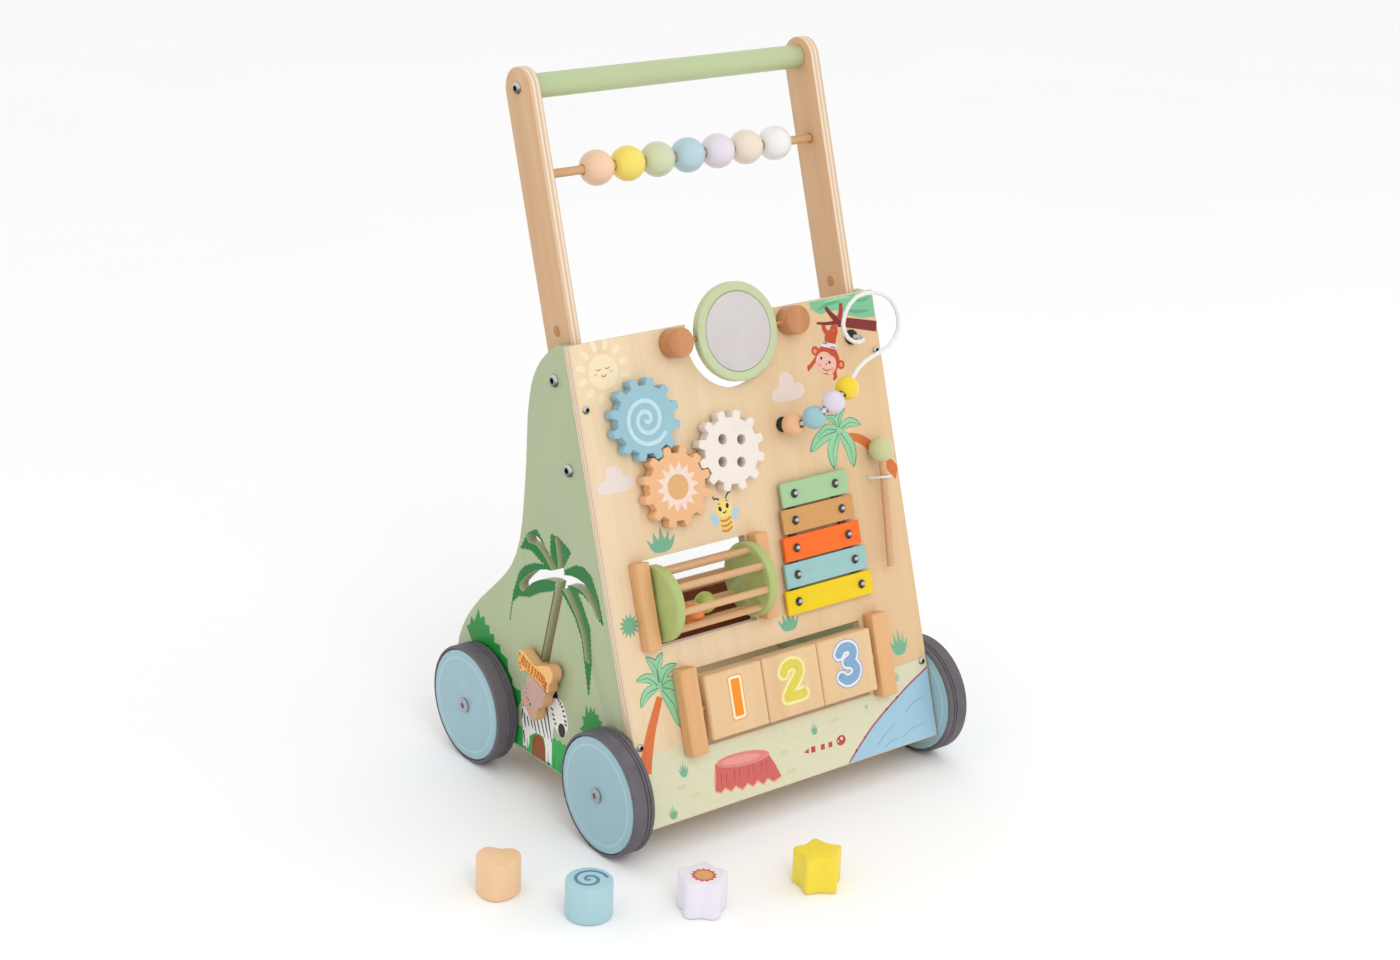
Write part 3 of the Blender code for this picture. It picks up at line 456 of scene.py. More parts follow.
def leaf(start, tip, bow, width):
    """Pointed leaf from start to tip, arching sideways by bow."""
    return ribbon([start, aside(between(start, tip, 0.5), start, tip, bow), tip], 1.2, 0.3, width)


def rays(x, y, inner, outer, count, phase=0.0):
    """Disc with pointed rays round it."""
    return [(x + reach * cos(phase + pi * i / count), y + reach * sin(phase + pi * i / count))
            for i, reach in enumerate([outer, inner] * count)]


def tinted(outlines, colour):
    return [(outline, colour) for outline in outlines]


def prism(bm, outline, top, bottom):
    """Flat piece between two heights, from an outline in millimetres."""
    upper, lower = ([bm.verts.new((x * MM, y * MM, z)) for x, y in outline] for z in (top, bottom))
    faces = [bm.faces.new(upper), bm.faces.new(lower[::-1])]
    for i in range(len(outline)):
        k = (i + 1) % len(outline)
        faces.append(bm.faces.new((upper[i], lower[i], lower[k], upper[k])))
    return faces


def object_of(bm, name, matrix):
    mesh = bpy.data.meshes.new(name)
    bm.to_mesh(mesh)
    bm.free()
    mesh.transform(matrix)
    return link(bpy.data.objects.new(name, mesh))


def sheet_of(levels, matrix, name, body):
    """Thin printed layers: levels of (outline, colour), later levels lying on earlier ones."""
    bm = bmesh.new()
    materials = []
    for level, shapes in enumerate(levels):
        for index, (outline, colour) in enumerate(shapes):
            material = ink(colour)
            if material not in materials:
                materials.append(material)
            top = PRINT + LAYER * level + SETTLE * index
            for face in prism(bm, outline, top, top - LAYER):
                face.material_index = materials.index(material)
    bmesh.ops.recalc_face_normals(bm, faces=bm.faces)
    sheet = object_of(bm, name, matrix)
    for material in materials:
        sheet.data.materials.append(material)
    return dress(sheet, name, body)


# ---- wood and paint on the CAD pieces ----
def dress_body():
    print_maze(rounded("side_panel_left", SAGE, 0.0006))
    rounded("side_panel_right", SAGE, 0.0008)
    rounded("front_panel", BIRCH_PANEL, 0.0005)
    # The rear rail above the bin floor takes a dark brown wood: painted shade seen behind the drum.
    rail_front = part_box("bin_base")[1].y - BIN_RAIL_T
    rounded("bin_base", [BIRCH, wood("rail_painted_shade", (158, 92, 56), (124, 66, 38))], 0.0006,
            choose=lambda centre: centre.y > rail_front and centre.z > BIN_FLOOR_TOP)
    finishes = (
        (POST_WOOD, 0.0008, "handle_post_left handle_post_right"), (ROD_WOOD, 0.0002, "abacus_rod"),
        (BEECH, 0.0008, "block_frame drum_bracket_left drum_bracket_right"),
        (PEG_WOOD, 0.0004, "mirror_peg_left mirror_peg_right"), (mirror_material(), 0.0002, "mirror_glass"),
        (PALE_GREEN, 0.0006, "mirror_frame"))
    for material, width, nodes in finishes:
        for node in nodes.split():
            rounded(node, material, width)
    rounded("mallet_loop", CORD, 0.0001, angle=80)
    for place, name, colour in (("left", "blue", (155, 196, 210)), ("middle", "orange", (243, 188, 138)),
                                ("right", "cream", (245, 235, 224))):
        rounded("gear_" + place, paint("gear_" + name, colour, 0.4), 0.0005)
    for i in range(1, 4):
        rounded("number_block_%d" % i, TILE_WOOD, 0.0008)
    bars = ((170, 208, 158), (216, 160, 96), (255, 112, 22), (158, 202, 200), (248, 212, 0))
    for i, colour in enumerate(bars, 1):
        rounded("chime_bar_%d" % i, paint("chime_enamel_%d" % i, colour, 0.4, 0.1), 0.0006)
    smooth_shaded(coated(NODES["chime_mount"], DARK_STEEL))
    rounded("handle_bar", BAR_GREEN, 0.0002)


def dress_beads():
    for i, (colour, tones) in enumerate(COLOURS.items(), 1):
        pale = tuple(round(tone + (255 - tone) * 0.3) for tone in tones)
        coat = paint("rod_" + colour, pale, 0.3, 0.3)
        make_bead("abacus_bead_%d" % i, coat, ROD_BEAD_R, ROD_BEAD_BORE, ALONG_X)
    for i, colour in enumerate(("orange", "sky", "lilac", "yellow"), 1):
        joint = JOINTS["wire_bead_%d_spin" % i]
        turn = Vector(joint["axis"]).to_track_quat("Z", "Y").to_matrix().to_4x4()
        coat = paint(colour + "_paint", COLOURS[colour], 0.3, 0.4)
        make_bead("wire_bead_%d" % i, coat, WIRE_BEAD_R, WIRE_BEAD_BORE, turn, Vector(joint["pos_m"]))


def make_bead(node, material, radius, bore, turn, centre=None):
    """Round bead with a softly broken edge at each end of its hole."""
    reach = atan2((radius ** 2 - (bore + 0.0006) ** 2) ** 0.5, bore + 0.0006)
    profile = arc_profile((0.0, 0.0), radius, reach, -reach, 22)
    low = profile[-1][1]
    profile += [(bore + 0.0001, low + 0.0004), (bore, low + 0.0012),
                (bore, -low - 0.0012), (bore + 0.0001, -low - 0.0004)]
    matrix = Matrix.Translation(centre or middle_of(node)) @ turn
    stand_in(turned(profile, 40, True), matrix, node, material, 50)


def dress_wire():
    """Coated wire, with the black cups at the panel told from it by height above the panel."""
    rounded("bead_wire", [WHITE_WIRE, BLACK], 0.0002, angle=60,
            choose=lambda centre: (PANEL.inverted() @ centre).z < WIRE_CUP_N)
    dome = [(0.0019, 0.0052), (0.0034, 0.0048), (0.0052, 0.0036), (0.0060, WIRE_CUP_N), (0.0019, WIRE_CUP_N)]
    for name, foot in WIRE_FEET.items():
        stood(turned(dome, 28, True), on_panel(*foot), name + "_cup", "walker", BLACK)


def dress_drum():
    left, right = (corner.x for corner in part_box("drum_cage"))
    inward = DRUM_DISC_T + 0.0001
    rounded("drum_cage", [CAGE_GREEN, ROD_WOOD], 0.0003,
            choose=lambda centre: left + inward < centre.x < right - inward)
    centre = middle_of("drum_cage")
    balls = (((-0.016, -0.007, -0.0125), (255, 150, 70)), ((0.0035, 0.004, -0.0120), (190, 208, 110)))
    for i, (place, colour) in enumerate(balls, 1):
        stood(turned(arc_profile((0.0, 0.0), DRUM_BALL_R, pi / 2, -pi / 2, 20), 32),
              Matrix.Translation(centre + Vector(place)), "drum_ball_%d" % i, "drum",
              paint("ball_paint_%d" % i, colour, 0.35, 0.3), 60)


def dress_mallet():
    head = PANEL @ Vector(MALLET_HEAD)
    rounded("mallet", [paint("mallet_olive", (214, 212, 160), 0.35), STICK_WOOD], 0.0001, angle=70,
            choose=lambda centre: (centre - head).length > MALLET_HEAD_R)


def dress_wheels():
    for end in ("front", "rear"):
        for side, outer in SIDES:
            label = "%s_%s" % (end, side)
            ring = (middle_of("wheel_disc_" + label), (0.0, 1.0, 1.0), WHEEL_RING, (176, 208, 216))
            disc_paint = paint("wheel_paint_" + label, (160, 196, 207), 0.4, rim=ring)
            rounded("wheel_disc_" + label, disc_paint, 0.0008)
            make_tyre(label, outer)
            smooth_shaded(coated(NODES["wheel_bolt_" + label], STEEL))


def make_tyre(label, outer):
    """Solid rubber tyre with rounded shoulders and two grooves near its inner edge."""
    node = "wheel_tyre_" + label
    low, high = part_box(node)
    half = (high.x - low.x) / 2
    radius = (high.y - low.y) / 2
    profile = arc_profile((radius - 0.0018, half - 0.0018), 0.0018, pi / 2, 0.0, 5)
    for groove in (-0.0022, -0.0050):
        profile += [(radius, groove + 0.0007), (radius - 0.0009, groove + 0.0004),
                    (radius - 0.0009, groove - 0.0004), (radius, groove - 0.0007)]
    profile += arc_profile((radius - 0.0022, -half + 0.0022), 0.0022, 0.0, -pi / 2, 5)
    profile += [(TYRE_BORE, -half), (TYRE_BORE, half)]
    matrix = Matrix.Translation(middle_of(node)) @ Matrix.Rotation(outer * pi / 2, 4, "Y")
    stand_in(turned(profile, 96, True), matrix, node, RUBBER, 30)


# ---- fastenings ----
def button_bolt(name, matrix, radius=0.0052):
    """Button head with a round socket, as a turned head with a recess; the socket is coloured black as painted
    shade.
    """
    profile = [(0.0, 0.0006), (radius * 0.42, 0.0006), (radius * 0.46, 0.0024)]
    profile += arc_profile((radius * 0.55, 0.0002), radius * 0.45, radians(78), 0.0, 6)
    profile += [(radius, 0.00005), (0.0, 0.00005)]
    head = turned(profile, 30)
    stood(head, Matrix(), name, "walker", BOLT_STEEL)
    head.data.materials.append(BLACK)
    # Socket faces take black: painted shade in the recess.
    for face in head.data.polygons:
        corners = [head.data.vertices[v].co for v in face.vertices]
        raised = min(co.z for co in corners) > 0.0001
        face.material_index = 1 if raised and max(co.xy.length for co in corners) < radius * 0.47 else 0
    head.data.transform(matrix)


def make_fastenings():
    for side, face in SIDES:
        outwards = Matrix.Rotation(face * pi / 2, 4, "Y")
        side_face = face * (MIDDLE.x - SIDE_X)
        for i, v in enumerate(POST_BOLT_V, 1):
            button_bolt("post_bolt_%s_%d" % (side, i), on_panel(side_face, v, POST_N) @ outwards)
        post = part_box("handle_post_" + side)
        post_face = (post[0].x if face < 0 else post[1].x) - MIDDLE.x
        button_bolt("bar_bolt_" + side, on_panel(post_face, BAR_BOLT_V, POST_N) @ outwards, 0.0046)
        for i, v in enumerate(PANEL_SCREW_V, 1):
            button_bolt("panel_screw_%s_%d" % (side, i), on_panel(face * PANEL_SCREW_U, v), 0.0031)
    # Bright steel domes on the dark chime screws: painted highlight on each screw's crown.
    dome = arc_profile((0.0, -0.0012), 0.0024, pi / 2, radians(32), 6) + [(0.0, 0.0001)]
    for i, v in enumerate(CHIME_V):
        for name, side in SIDES:
            u = CHIME_U + side * (CHIME_SCREW_U + CHIME_SCREW_STEP * i)
            label = "chime_painted_highlight_%d_%s" % (i + 1, name)
            stood(turned(dome, 20), on_panel(u, v, CHIME_TOP), label, "walker", BOLT_STEEL)
    for side in ("left", "right"):
        plug = turned([(0.0, 0.00012), (0.0042, 0.00012), (0.0044, 0.00002), (0.0, 0.00002)], 28)
        post_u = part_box("handle_post_" + side)[0].x - MIDDLE.x
        plug.data.transform(on_panel(post_u, PLUG_V, POST_N) @ Matrix.Rotation(-pi / 2, 4, "Y"))
        dress(plug, "post_plug_" + side, "walker", [PEG_WOOD])


# ---- sliders and loose blocks ----
def dress_sliders():
    for node, face_paint in (("slider_upper", (250, 196, 118)), ("slider_lower", (204, 166, 150))):
        face_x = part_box(node)[0].x + 0.0002
        rounded(node, [BEECH, paint(node + "_face", face_paint, 0.45)], 0.0005,
                choose=lambda centre: centre.x < face_x)
    neck = [(-16.4, 7.5), (-16, 1), (-15.6, -4)]
    coat = [(-14, 5.2), (-7.2, 1.8), (5.4, -0.8), (15, -2.2), (20.6, -7.2)]
    figure = tinted([ribbon(neck, 4, 4.6), ribbon(coat, 7.8, 5, 8.8)], (250, 176, 50))
    spots = []
    for i, (x, y) in enumerate(curve_through(coat, 3)[1:]):
        for side in (-1, 0, 1):
            shift = side * (2.6 + 0.4 * (i % 2))
            spots.append(ellipse(x + 0.8 * side, y + shift, 1.5, 1, 25 + 50 * ((i + side) % 3), 10))
    spots += [ellipse(-16.6, 7.6, 1.4, 1.1), ellipse(-16, -0.8, 1.3, 0.9, 60), ellipse(-15.8, -4.4, 1.2, 0.9)]
    spots = tinted(spots, (186, 74, 28))
    marks = tinted([ellipse(x, y, 1, 0.7, 30, 10) for x, y in ((0.8, 8.8), (3, 5.2), (4.8, 4), (2, 13))],
                   (140, 60, 62))
    marks.append((rays(7.6, 1, 0.8, 2.4, 7), (62, 122, 98)))
    wash = tinted([ellipse(6, -5, 3.4, 2, 20), ellipse(2, 1, 3, 1.8, 60)], (222, 150, 128))
    for node, (y, z), levels in (("slider_upper", UPPER_PIN, [figure, spots]),
                                 ("slider_lower", LOWER_PIN, [wash, marks])):
        out = SIDE_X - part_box(node)[0].x
        place = on_left_face(out) @ Matrix.Translation((-y, z, 0.0))
        sheet_of(levels, place, node + "_print", BODY_OF[node])


def dress_blocks():
    for shape, tone in (("heart", (252, 208, 162)), ("round", (178, 216, 224)), ("flower", (244, 238, 248)),
                        ("star", (253, 228, 64))):
        rounded("shape_" + shape, paint("block_" + shape, tone, 0.4), 0.0012, 3)


# ---- floor, lights and camera ----
def make_stage():
    mesh = bpy.data.meshes.new("floor")
    corners = ((-1, -1), (1, -1), (1, 1), (-1, 1))
    mesh.from_pydata([(FLOOR_REACH * x, FLOOR_REACH * y, 0.0) for x, y in corners], [], [(0, 1, 2, 3)])
    floor = link(bpy.data.objects.new("floor", mesh))
    floor.location.z = FLOOR_Z
    made, tree, shader, here = blank("floor_white", 0.9)
    surface(tree, shader, mixed(tree, noise(tree, here, 3.0), (0.93, 0.93, 0.93, 1.0), (0.95, 0.95, 0.95, 1.0)))
    mesh.materials.append(made)


def area_light(name, place, target, size, watts):
    data = bpy.data.lights.new(name, "AREA")
    data.shape = "DISK"
    data.size = size
    data.energy = watts
    lamp = link(bpy.data.objects.new(name, data))
    lamp.location = place
    lamp.visible_glossy = False
    lamp.rotation_mode = "QUATERNION"
    lamp.rotation_quaternion = (target - place).to_track_quat("-Z", "Y")


def make_lights():
    world = bpy.data.worlds.new("studio")
    bpy.context.scene.world = world
    world.use_nodes = True
    background = world.node_tree.nodes["Background"]
    background.inputs["Color"].default_value = (1.0, 1.0, 1.0, 1.0)
    background.inputs["Strength"].default_value = 1.0
    target = MIDDLE + Vector((0.0, 0.0, 0.25))
    area_light("key", target + Vector((-0.6, -1.9, 1.7)), target, 1.2, 12)
    area_light("fill", target + Vector((1.9, -1.2, 1.0)), target, 1.4, 3)
    bpy.context.scene.view_settings.view_transform = "Standard"


def make_camera():
    azimuth, elevation, roll = radians(-38.261), radians(20.677), radians(2.262)
    back = Vector((sin(azimuth) * cos(elevation), -cos(azimuth) * cos(elevation), sin(elevation)))
    right = Vector((0.0, 0.0, 1.0)).cross(back).normalized()
    up = back.cross(right)
    rolled_right = right * cos(roll) + up * sin(roll)
    rolled_up = up * cos(roll) - right * sin(roll)
    axes = Matrix((rolled_right, rolled_up, back)).transposed().to_4x4()
    data = bpy.data.cameras.new("camera")
    data.sensor_width = 36.0
    data.lens = 62.948
    camera = link(bpy.data.objects.new("camera", data))
    camera.matrix_world = Matrix.Translation(MIDDLE + Vector((-1.15135, -1.44901, 0.94213))) @ axes
    bpy.context.scene.camera = camera


# ---- prints on the front panel ----
MINT = (158, 214, 170)
LEAF_EDGE = (84, 158, 118)
TEAL_GREEN = (124, 186, 152)
TRUNK = (226, 118, 60)
BARK = (132, 44, 38)
FUR = (206, 82, 48)
SKIN = (248, 196, 178)
INK_BLACK = (38, 32, 30)


def thick(points, width, colour, steps=4):
    """Even stroke with round ends and joints, as a run of discs and links."""
    line = curve_through(points, steps) if len(points) > 2 else points
    pieces = [ellipse(x, y, width / 2, width / 2, steps=14) for x, y in line]
    for a, b in zip(line, line[1:]):
        pieces.append([aside(p, a, b, reach) for p, reach in
                       ((a, width / 2), (a, -width / 2), (b, -width / 2), (b, width / 2))])
    return tinted(pieces, colour)


def strokes(lines, colour, steps=4):
    """Even strokes from (width, points) pairs."""
    return [piece for width, points in lines for piece in thick(points, width, colour, steps)]


def dot_at(x, y, radius, colour):
    return [(ellipse(x, y, radius, radius, steps=16), colour)]


def spiral(start_radius, start_turn, turns, width, colour, clockwise=True):
    count = round(16 * turns)
    way = -1 if clockwise else 1
    points = []
    for i in range(count + 1):
        turn = start_turn + way * 2 * pi * turns * i / count
        reach = start_radius * (1 - 0.93 * i / count)
        points.append((reach * cos(turn), reach * sin(turn)))
    return thick(points, width, colour, 2)


def tuft(x, y, wide, tall, colour=TEAL_GREEN):
    """Grass tuft with five blades fanning from its foot."""
    blades = (
        (-0.28, 0.0), (-0.50, 0.60), (-0.30, 0.36), (-0.24, 0.80), (-0.09, 0.46), (0.02, 1.0), (0.12, 0.46),
        (0.30, 0.76), (0.28, 0.34), (0.50, 0.56), (0.28, 0.0))
    return closed_through([(x + wide * a, y + tall * b) for a, b in blades], 3), colour


def cloud(x, y, wide, tall, colour):
    puffs = (
        (-0.50, -0.30), (-0.42, -0.02), (-0.25, 0.04), (-0.20, 0.36), (0.0, 0.50), (0.18, 0.34), (0.24, 0.08),
        (0.42, 0.04), (0.50, -0.28), (0.28, -0.46), (-0.28, -0.46))
    return [(closed_through([(x + wide * a, y + tall * b) for a, b in puffs]), colour)]


def palm(centre, tips, trunk, widths):
    """Palm tree: [edges and trunk], [leaves], [midribs and folds]."""
    edges = [([(min(max(x, -EDGE), EDGE), y) for x, y in ribbon(trunk, *widths)], TRUNK)]
    leaves, ribs = [], []
    for tip in tips:
        arch = 4 if tip[0] > centre[0] else -4
        wide = 0.30 * dist(tip, centre)
        edges.append((leaf(centre, tip, arch, wide + 1.2), LEAF_EDGE))
        inner = between(centre, tip, 0.96)
        leaves.append((leaf(centre, inner, arch, wide), MINT))
        ribs.append((leaf(between(centre, tip, 0.1), inner, arch * 0.9, 0.6), LEAF_EDGE))
    return edges, leaves, ribs


def ground_levels():
    band = [
        (-EDGE, 0.6), (EDGE, 0.6), (EDGE, 66.8), (127, 66), (113, 65.5), (91.5, 64), (90.5, 49.4), (-90.5, 49.4),
        (-91.5, 58.5), (-120, 57), (-EDGE, 56)]
    shore = curve_through([(52.5, 0.6), (59.2, 7), (84.5, 26.2), (122.2, 46.8), (140.5, 55), (EDGE, 59)])
    water = curve_through([(54.1, 0.6), (60.8, 6), (85.7, 24.7), (123, 45.2), (141.2, 53.4), (EDGE, 57.2)])
    corner = [(EDGE, 0.6)]
    stump_low = [
        (-82, 14), (-76.5, 11.5), (-72.2, 14.2), (-66.8, 10.2), (-61.8, 13.2), (-56, 8.6), (-50, 12.2),
        (-45.2, 8.4), (-40, 11.8), (-35, 7.2), (-30, 10.8), (-24.5, 6.8), (-16.5, 9)]
    stump_top = [(-21.5, 21), (-26.2, 30), (-78.2, 34.5), (-79, 25)]
    halo = [(x, y - 1.4) for x, y in stump_low] + [(-20, 19)] + stump_top[1:3] + [(-81.5, 24)]
    waves = [[(83, 6), (96, 15), (107.5, 21.2)], [(118, 26), (130, 33), (142, 35.2)],
             [(112, 7), (125, 12.2), (138, 13.2)], [(93, 4), (100, 7.2), (108, 8)]]
    first = [(band, (226, 224, 192))]
    second = [(shore + corner, (176, 104, 128)), (halo, (240, 168, 136))]
    third = [(water + corner, (166, 206, 226)), (stump_low + stump_top, (216, 104, 98))]
    third += [
        tuft(-108.5, 33, 9, 12), tuft(-124, 3.5, 8.5, 10.5), tuft(23, 33, 7, 9.5),
        tuft(79.5, 40, 4, 4, (170, 205, 170)), tuft(106, 54, 5, 7.5, (176, 206, 168)),
        tuft(116, 54.5, 5, 8, (176, 206, 168))]
    patches = ((-112, 25), (-100, 16), (-10, 26), (45, 39), (-6, 10))
    third += tinted([ellipse(x, y, 5, 2.2) for x, y in patches], (216, 218, 180))
    fourth = [(ellipse(-51, 31.8, 26.2, 5.6, -5), (232, 138, 134))]
    fourth += tinted([ribbon(wave, 0.3, 0.2, 0.7) for wave in waves], (120, 168, 200))
    fourth += tinted([ribbon([(x, 25), (x - 1, 16.5)], 1, 0.4) for x in
                      (-74, -69, -61, -56, -47, -42, -34, -29)], (190, 76, 78))
    pebbles = ((62.5, 9), (73.5, 17.3), (100, 34.5), (113, 41.3))
    fourth += tinted([ellipse(x, y, 1, 1, steps=16) for x, y in pebbles], BARK)
    fifth = [(ellipse(-53, 32.1, 19, 3.2, -5), (240, 160, 152))]
    snake = (196, 78, 56)
    for x, y, size in ((19, 21.2, 2.4), (29, 20.8, 2.2), (37, 20.6, 2.1)):
        slant = size * 0.8
        stripe = [(x - size, y - size), (x + slant, y - size), (x + size, y + size), (x - slant, y + size)]
        fifth.append((stripe, snake))
    fifth.append(([(9.5, 21.2), (14, 19), (14.6, 23.2)], snake))
    fifth.append((ellipse(48.5, 21.3, 4.8, 4, 15), snake))
    sixth = dot_at(49.2, 22.6, 1.3, (250, 240, 226)) + dot_at(45.5, 21.2, 0.7, (250, 240, 226))
    return [first, second, third, fourth, fifth, sixth]


def sky_levels():
    sun = (-123.8, 351.8)
    pale = (249, 231, 193)
    first = [(ellipse(sun[0] + 20.5 * cos(a), sun[1] + 20.5 * sin(a), 4.4, 2.6, a * 180 / pi), pale)
             for a in [pi * (i + 0.5) / 6 for i in range(12)]]
    first += dot_at(sun[0], sun[1], 13.6, pale)
    first += cloud(-128.5, 269.8, 35, 21.5, (240, 224, 218))
    first += cloud(48.3, 311.5, 34, 24, (240, 220, 210))
    first += [tuft(-95.5, 208, 27, 19), tuft(14, 121, 21, 16.5), tuft(123.5, 76, 19, 21)]
    first.append((rays(-136.8, 158.1, 5.8, 9.8, 13, 0.3), TEAL_GREEN))
    canopy = [(83, 374.5), (EDGE, 374.5), (EDGE, 352.9), (134.1, 354.1), (120.2, 359), (109, 364.4),
              (91.8, 363.3), (83.3, 369.2)]
    first.append((canopy, (130, 200, 154)))
    second = tinted([ribbon([(90.5, 366.8), (101, 370), (115, 370.5)], 0.8, 0.4, 3),
                     ribbon([(118, 364), (130, 360), (144, 359)], 0.8, 0.4, 3),
                     ribbon([(128, 370), (138, 368), (148, 369.5)], 0.8, 0.4, 2.6)],
                    (104, 178, 132))
    second += tinted([ribbon([(98, 372), (112, 373.5), (126, 372.8)], 0.6, 0.4, 2.4)], (160, 216, 172))
    second.append((ribbon([(108.5, 353.8), (116.6, 353), (EDGE, 344.9)], 7, 8.8), BARK))
    second.append((ribbon([(115, 353.5), (106.6, 358.2), (98.7, 368.2)], 7, 3), BARK))
    second.append((ribbon([(111, 356), (114, 362), (115.3, 369)], 5.2, 3.4), (176, 62, 44)))
    second.append((ribbon([(110, 354.8), (99, 354.8), (87.5, 356.8)], 3.6, 1.8), BARK))
    for x, y in ((-127.8, 354), (-119.6, 354.5)):
        second += thick([(x - 2, y), (x, y - 0.8), (x + 2, y)], 0.7, (160, 116, 70))
    second += thick([(-125.6, 349.2), (-123.7, 348), (-121.8, 349.2)], 0.8, (160, 116, 70))
    second += tinted([ellipse(-131, 350.5, 1.8, 1.2), ellipse(-116.6, 351.2, 1.8, 1.2)], (246, 206, 150))
    return [first, second]


def bee_levels():
    first = tinted([ellipse(-42.5, 221.8, 3.6, 5.6, 24), ellipse(-21.4, 223.2, 3.2, 5.6, -28)], (184, 214, 232))
    first += strokes(((1.2, [(-35, 235), (-37.2, 237.4), (-40, 237.2), (-40.8, 239.2)]),
                      (1.2, [(-28.8, 236.2), (-26.2, 239.8), (-23.6, 240.4), (-23.6, 242)])), INK_BLACK, 2)
    second = [(ellipse(-31.7, 216.6, 6.2, 7.8, 8), (250, 214, 116)),
              (ellipse(-32.2, 229, 7.8, 7.4, 8), (252, 224, 130))]
    third = tinted([ribbon([(-37.2, y - 0.4), (-31.7, y - 1.4), (-26.2, y + 1)], 1, 1, 1.9)
                    for y in (220.2, 216.2, 212.2)], (206, 142, 64))
    third += tinted([ellipse(-35.8, 228.8, 1.5, 2.1, 20), ellipse(-28.4, 230.2, 1.5, 2.1, -10)], INK_BLACK)
    third += strokes(((1, [(-33.3, 225.8), (-31.8, 225), (-30.2, 226.2)]),
                      (0.6, [(-37.4, 232.2), (-36.4, 233), (-35.4, 232.8)]),
                      (0.6, [(-29.4, 234.2), (-28.2, 234.6), (-27.2, 233.6)])), INK_BLACK, 2)
    return [first, second, third]


def monkey_levels():
    first = strokes(((3.6, [(100, 344), (102.2, 350), (106.2, 352.8), (110.2, 356)]),
                     (4.2, [(98.5, 345), (94.5, 350.5), (94.2, 354.5)]),
                     (4.2, [(103.5, 343), (106, 347.8), (105.2, 352)]),
                     (3.2, [(86, 333), (79, 327), (73.5, 322.8)]),
                     (3.6, [(101, 329), (99.2, 319), (98.6, 311)])), FUR)
    first += [(ellipse(99.2, 342.5, 6, 7, -10), FUR)]
    second = dot_at(81.7, 335.2, 3.8, FUR) + dot_at(106.2, 320, 3.8, FUR)
    second += [(ellipse(92.8, 326, 12.8, 11.8, -28), FUR)]
    second += strokes(((2, [(72.5, 324.2), (72.2, 321)]), (2, [(97.8, 312), (96.8, 309.5)])), FUR)
    third = tinted([ellipse(89.6, 324.5, 9.2, 8.6, -28), ellipse(95, 321.5, 6.2, 7.6, -28)], SKIN)
    third += dot_at(81.5, 335, 1.9, (240, 150, 120)) + dot_at(106.2, 320.1, 1.9, (240, 150, 120))
    third += thick([(90.5, 339.2), (96, 337.5), (103, 335.2)], 4, (240, 232, 232), 3)
    fourth = dot_at(86.8, 328.4, 1.2, INK_BLACK) + dot_at(94.6, 323.8, 1.2, INK_BLACK)
    fourth += thick([(86.8, 320), (90.2, 317.6), (94, 318)], 0.7, (150, 60, 50), 3)
    fourth += tinted([ellipse(84.2, 323.2, 2, 1.4, -28), ellipse(96.4, 317.8, 2, 1.4, -28)], (246, 160, 150))
    fourth += strokes(((1, [(90.5, 340.2), (94.8, 339.2)]), (1, [(98.5, 335.8), (102.8, 334.4)])),
                      (90, 130, 190))
    fourth += dot_at(91.2, 322.8, 0.9, (200, 110, 90))
    return [first, second, third, fourth]


def stacked(*groups):
    """Groups of levels merged level by level."""
    merged = []
    for levels in groups:
        for index, level in enumerate(levels):
            if index == len(merged):
                merged.append([])
            merged[index] += level
    return merged


def print_panel():
    right_tips = (
        (61.4, 256.1), (83.3, 237.9), (103.8, 235.9), (117.5, 268.6), (103.3, 284.4), (80.7, 280.8),
        (70.5, 265.7))
    left_tips = (
        (-126.5, 131.7), (-110.5, 132), (-99, 120), (-138.7, 115.6), (-138.2, 94.6), (-105, 71), (-98.5, 89),
        (-100, 104))
    right_palm = palm((94.2, 269), right_tips, [(100, 262.5), (119.7, 253.9), (150, 221.5)], (5, 11))
    left_palm = palm((-117.8, 106.8), left_tips, [(-119.5, 98.5), (-134, 70.9), (-144, 44)], (5.5, 12))
    levels = stacked(ground_levels(), sky_levels(), bee_levels(), monkey_levels(), right_palm, left_palm)
    sheet_of(levels, PANEL, "panel_prints", "walker")


def print_gears():
    for name, shapes in (("left", [spiral(20, radians(-40), 2.2, 3.3, (196, 226, 234))]),
                         ("middle", [[(rays(0, 0, 13.6, 19.8, 14), (248, 220, 206))],
                                     dot_at(0, 0, 10, (228, 176, 118))])):
        centre = PANEL.inverted() @ Vector(JOINTS["gear_%s_spin" % name]["pos_m"])
        sheet_of(shapes, on_panel(centre.x, centre.y, GEAR_FACE), "gear_%s_print" % name, "gear_%s_body" % name)


def digit_levels(lines, width, colour, inner, outer):
    """Digit with two bands round it, the widest lowest."""
    return [strokes([(width + extra, points) for points in lines], tone, 5)
            for extra, tone in ((5.6, outer), (4, inner), (0, colour))]


def plaque(wide, tall, corner):
    """Rectangle with rounded corners, about the origin."""
    points = []
    for x, y, start in ((1, -1, -0.5), (1, 1, 0.0), (-1, 1, 0.5), (-1, -1, 1.0)):
        centre = (x * (wide / 2 - corner), y * (tall / 2 - corner))
        points += arc_profile(centre, corner, start * pi, (start + 0.5) * pi, 5)
    return points


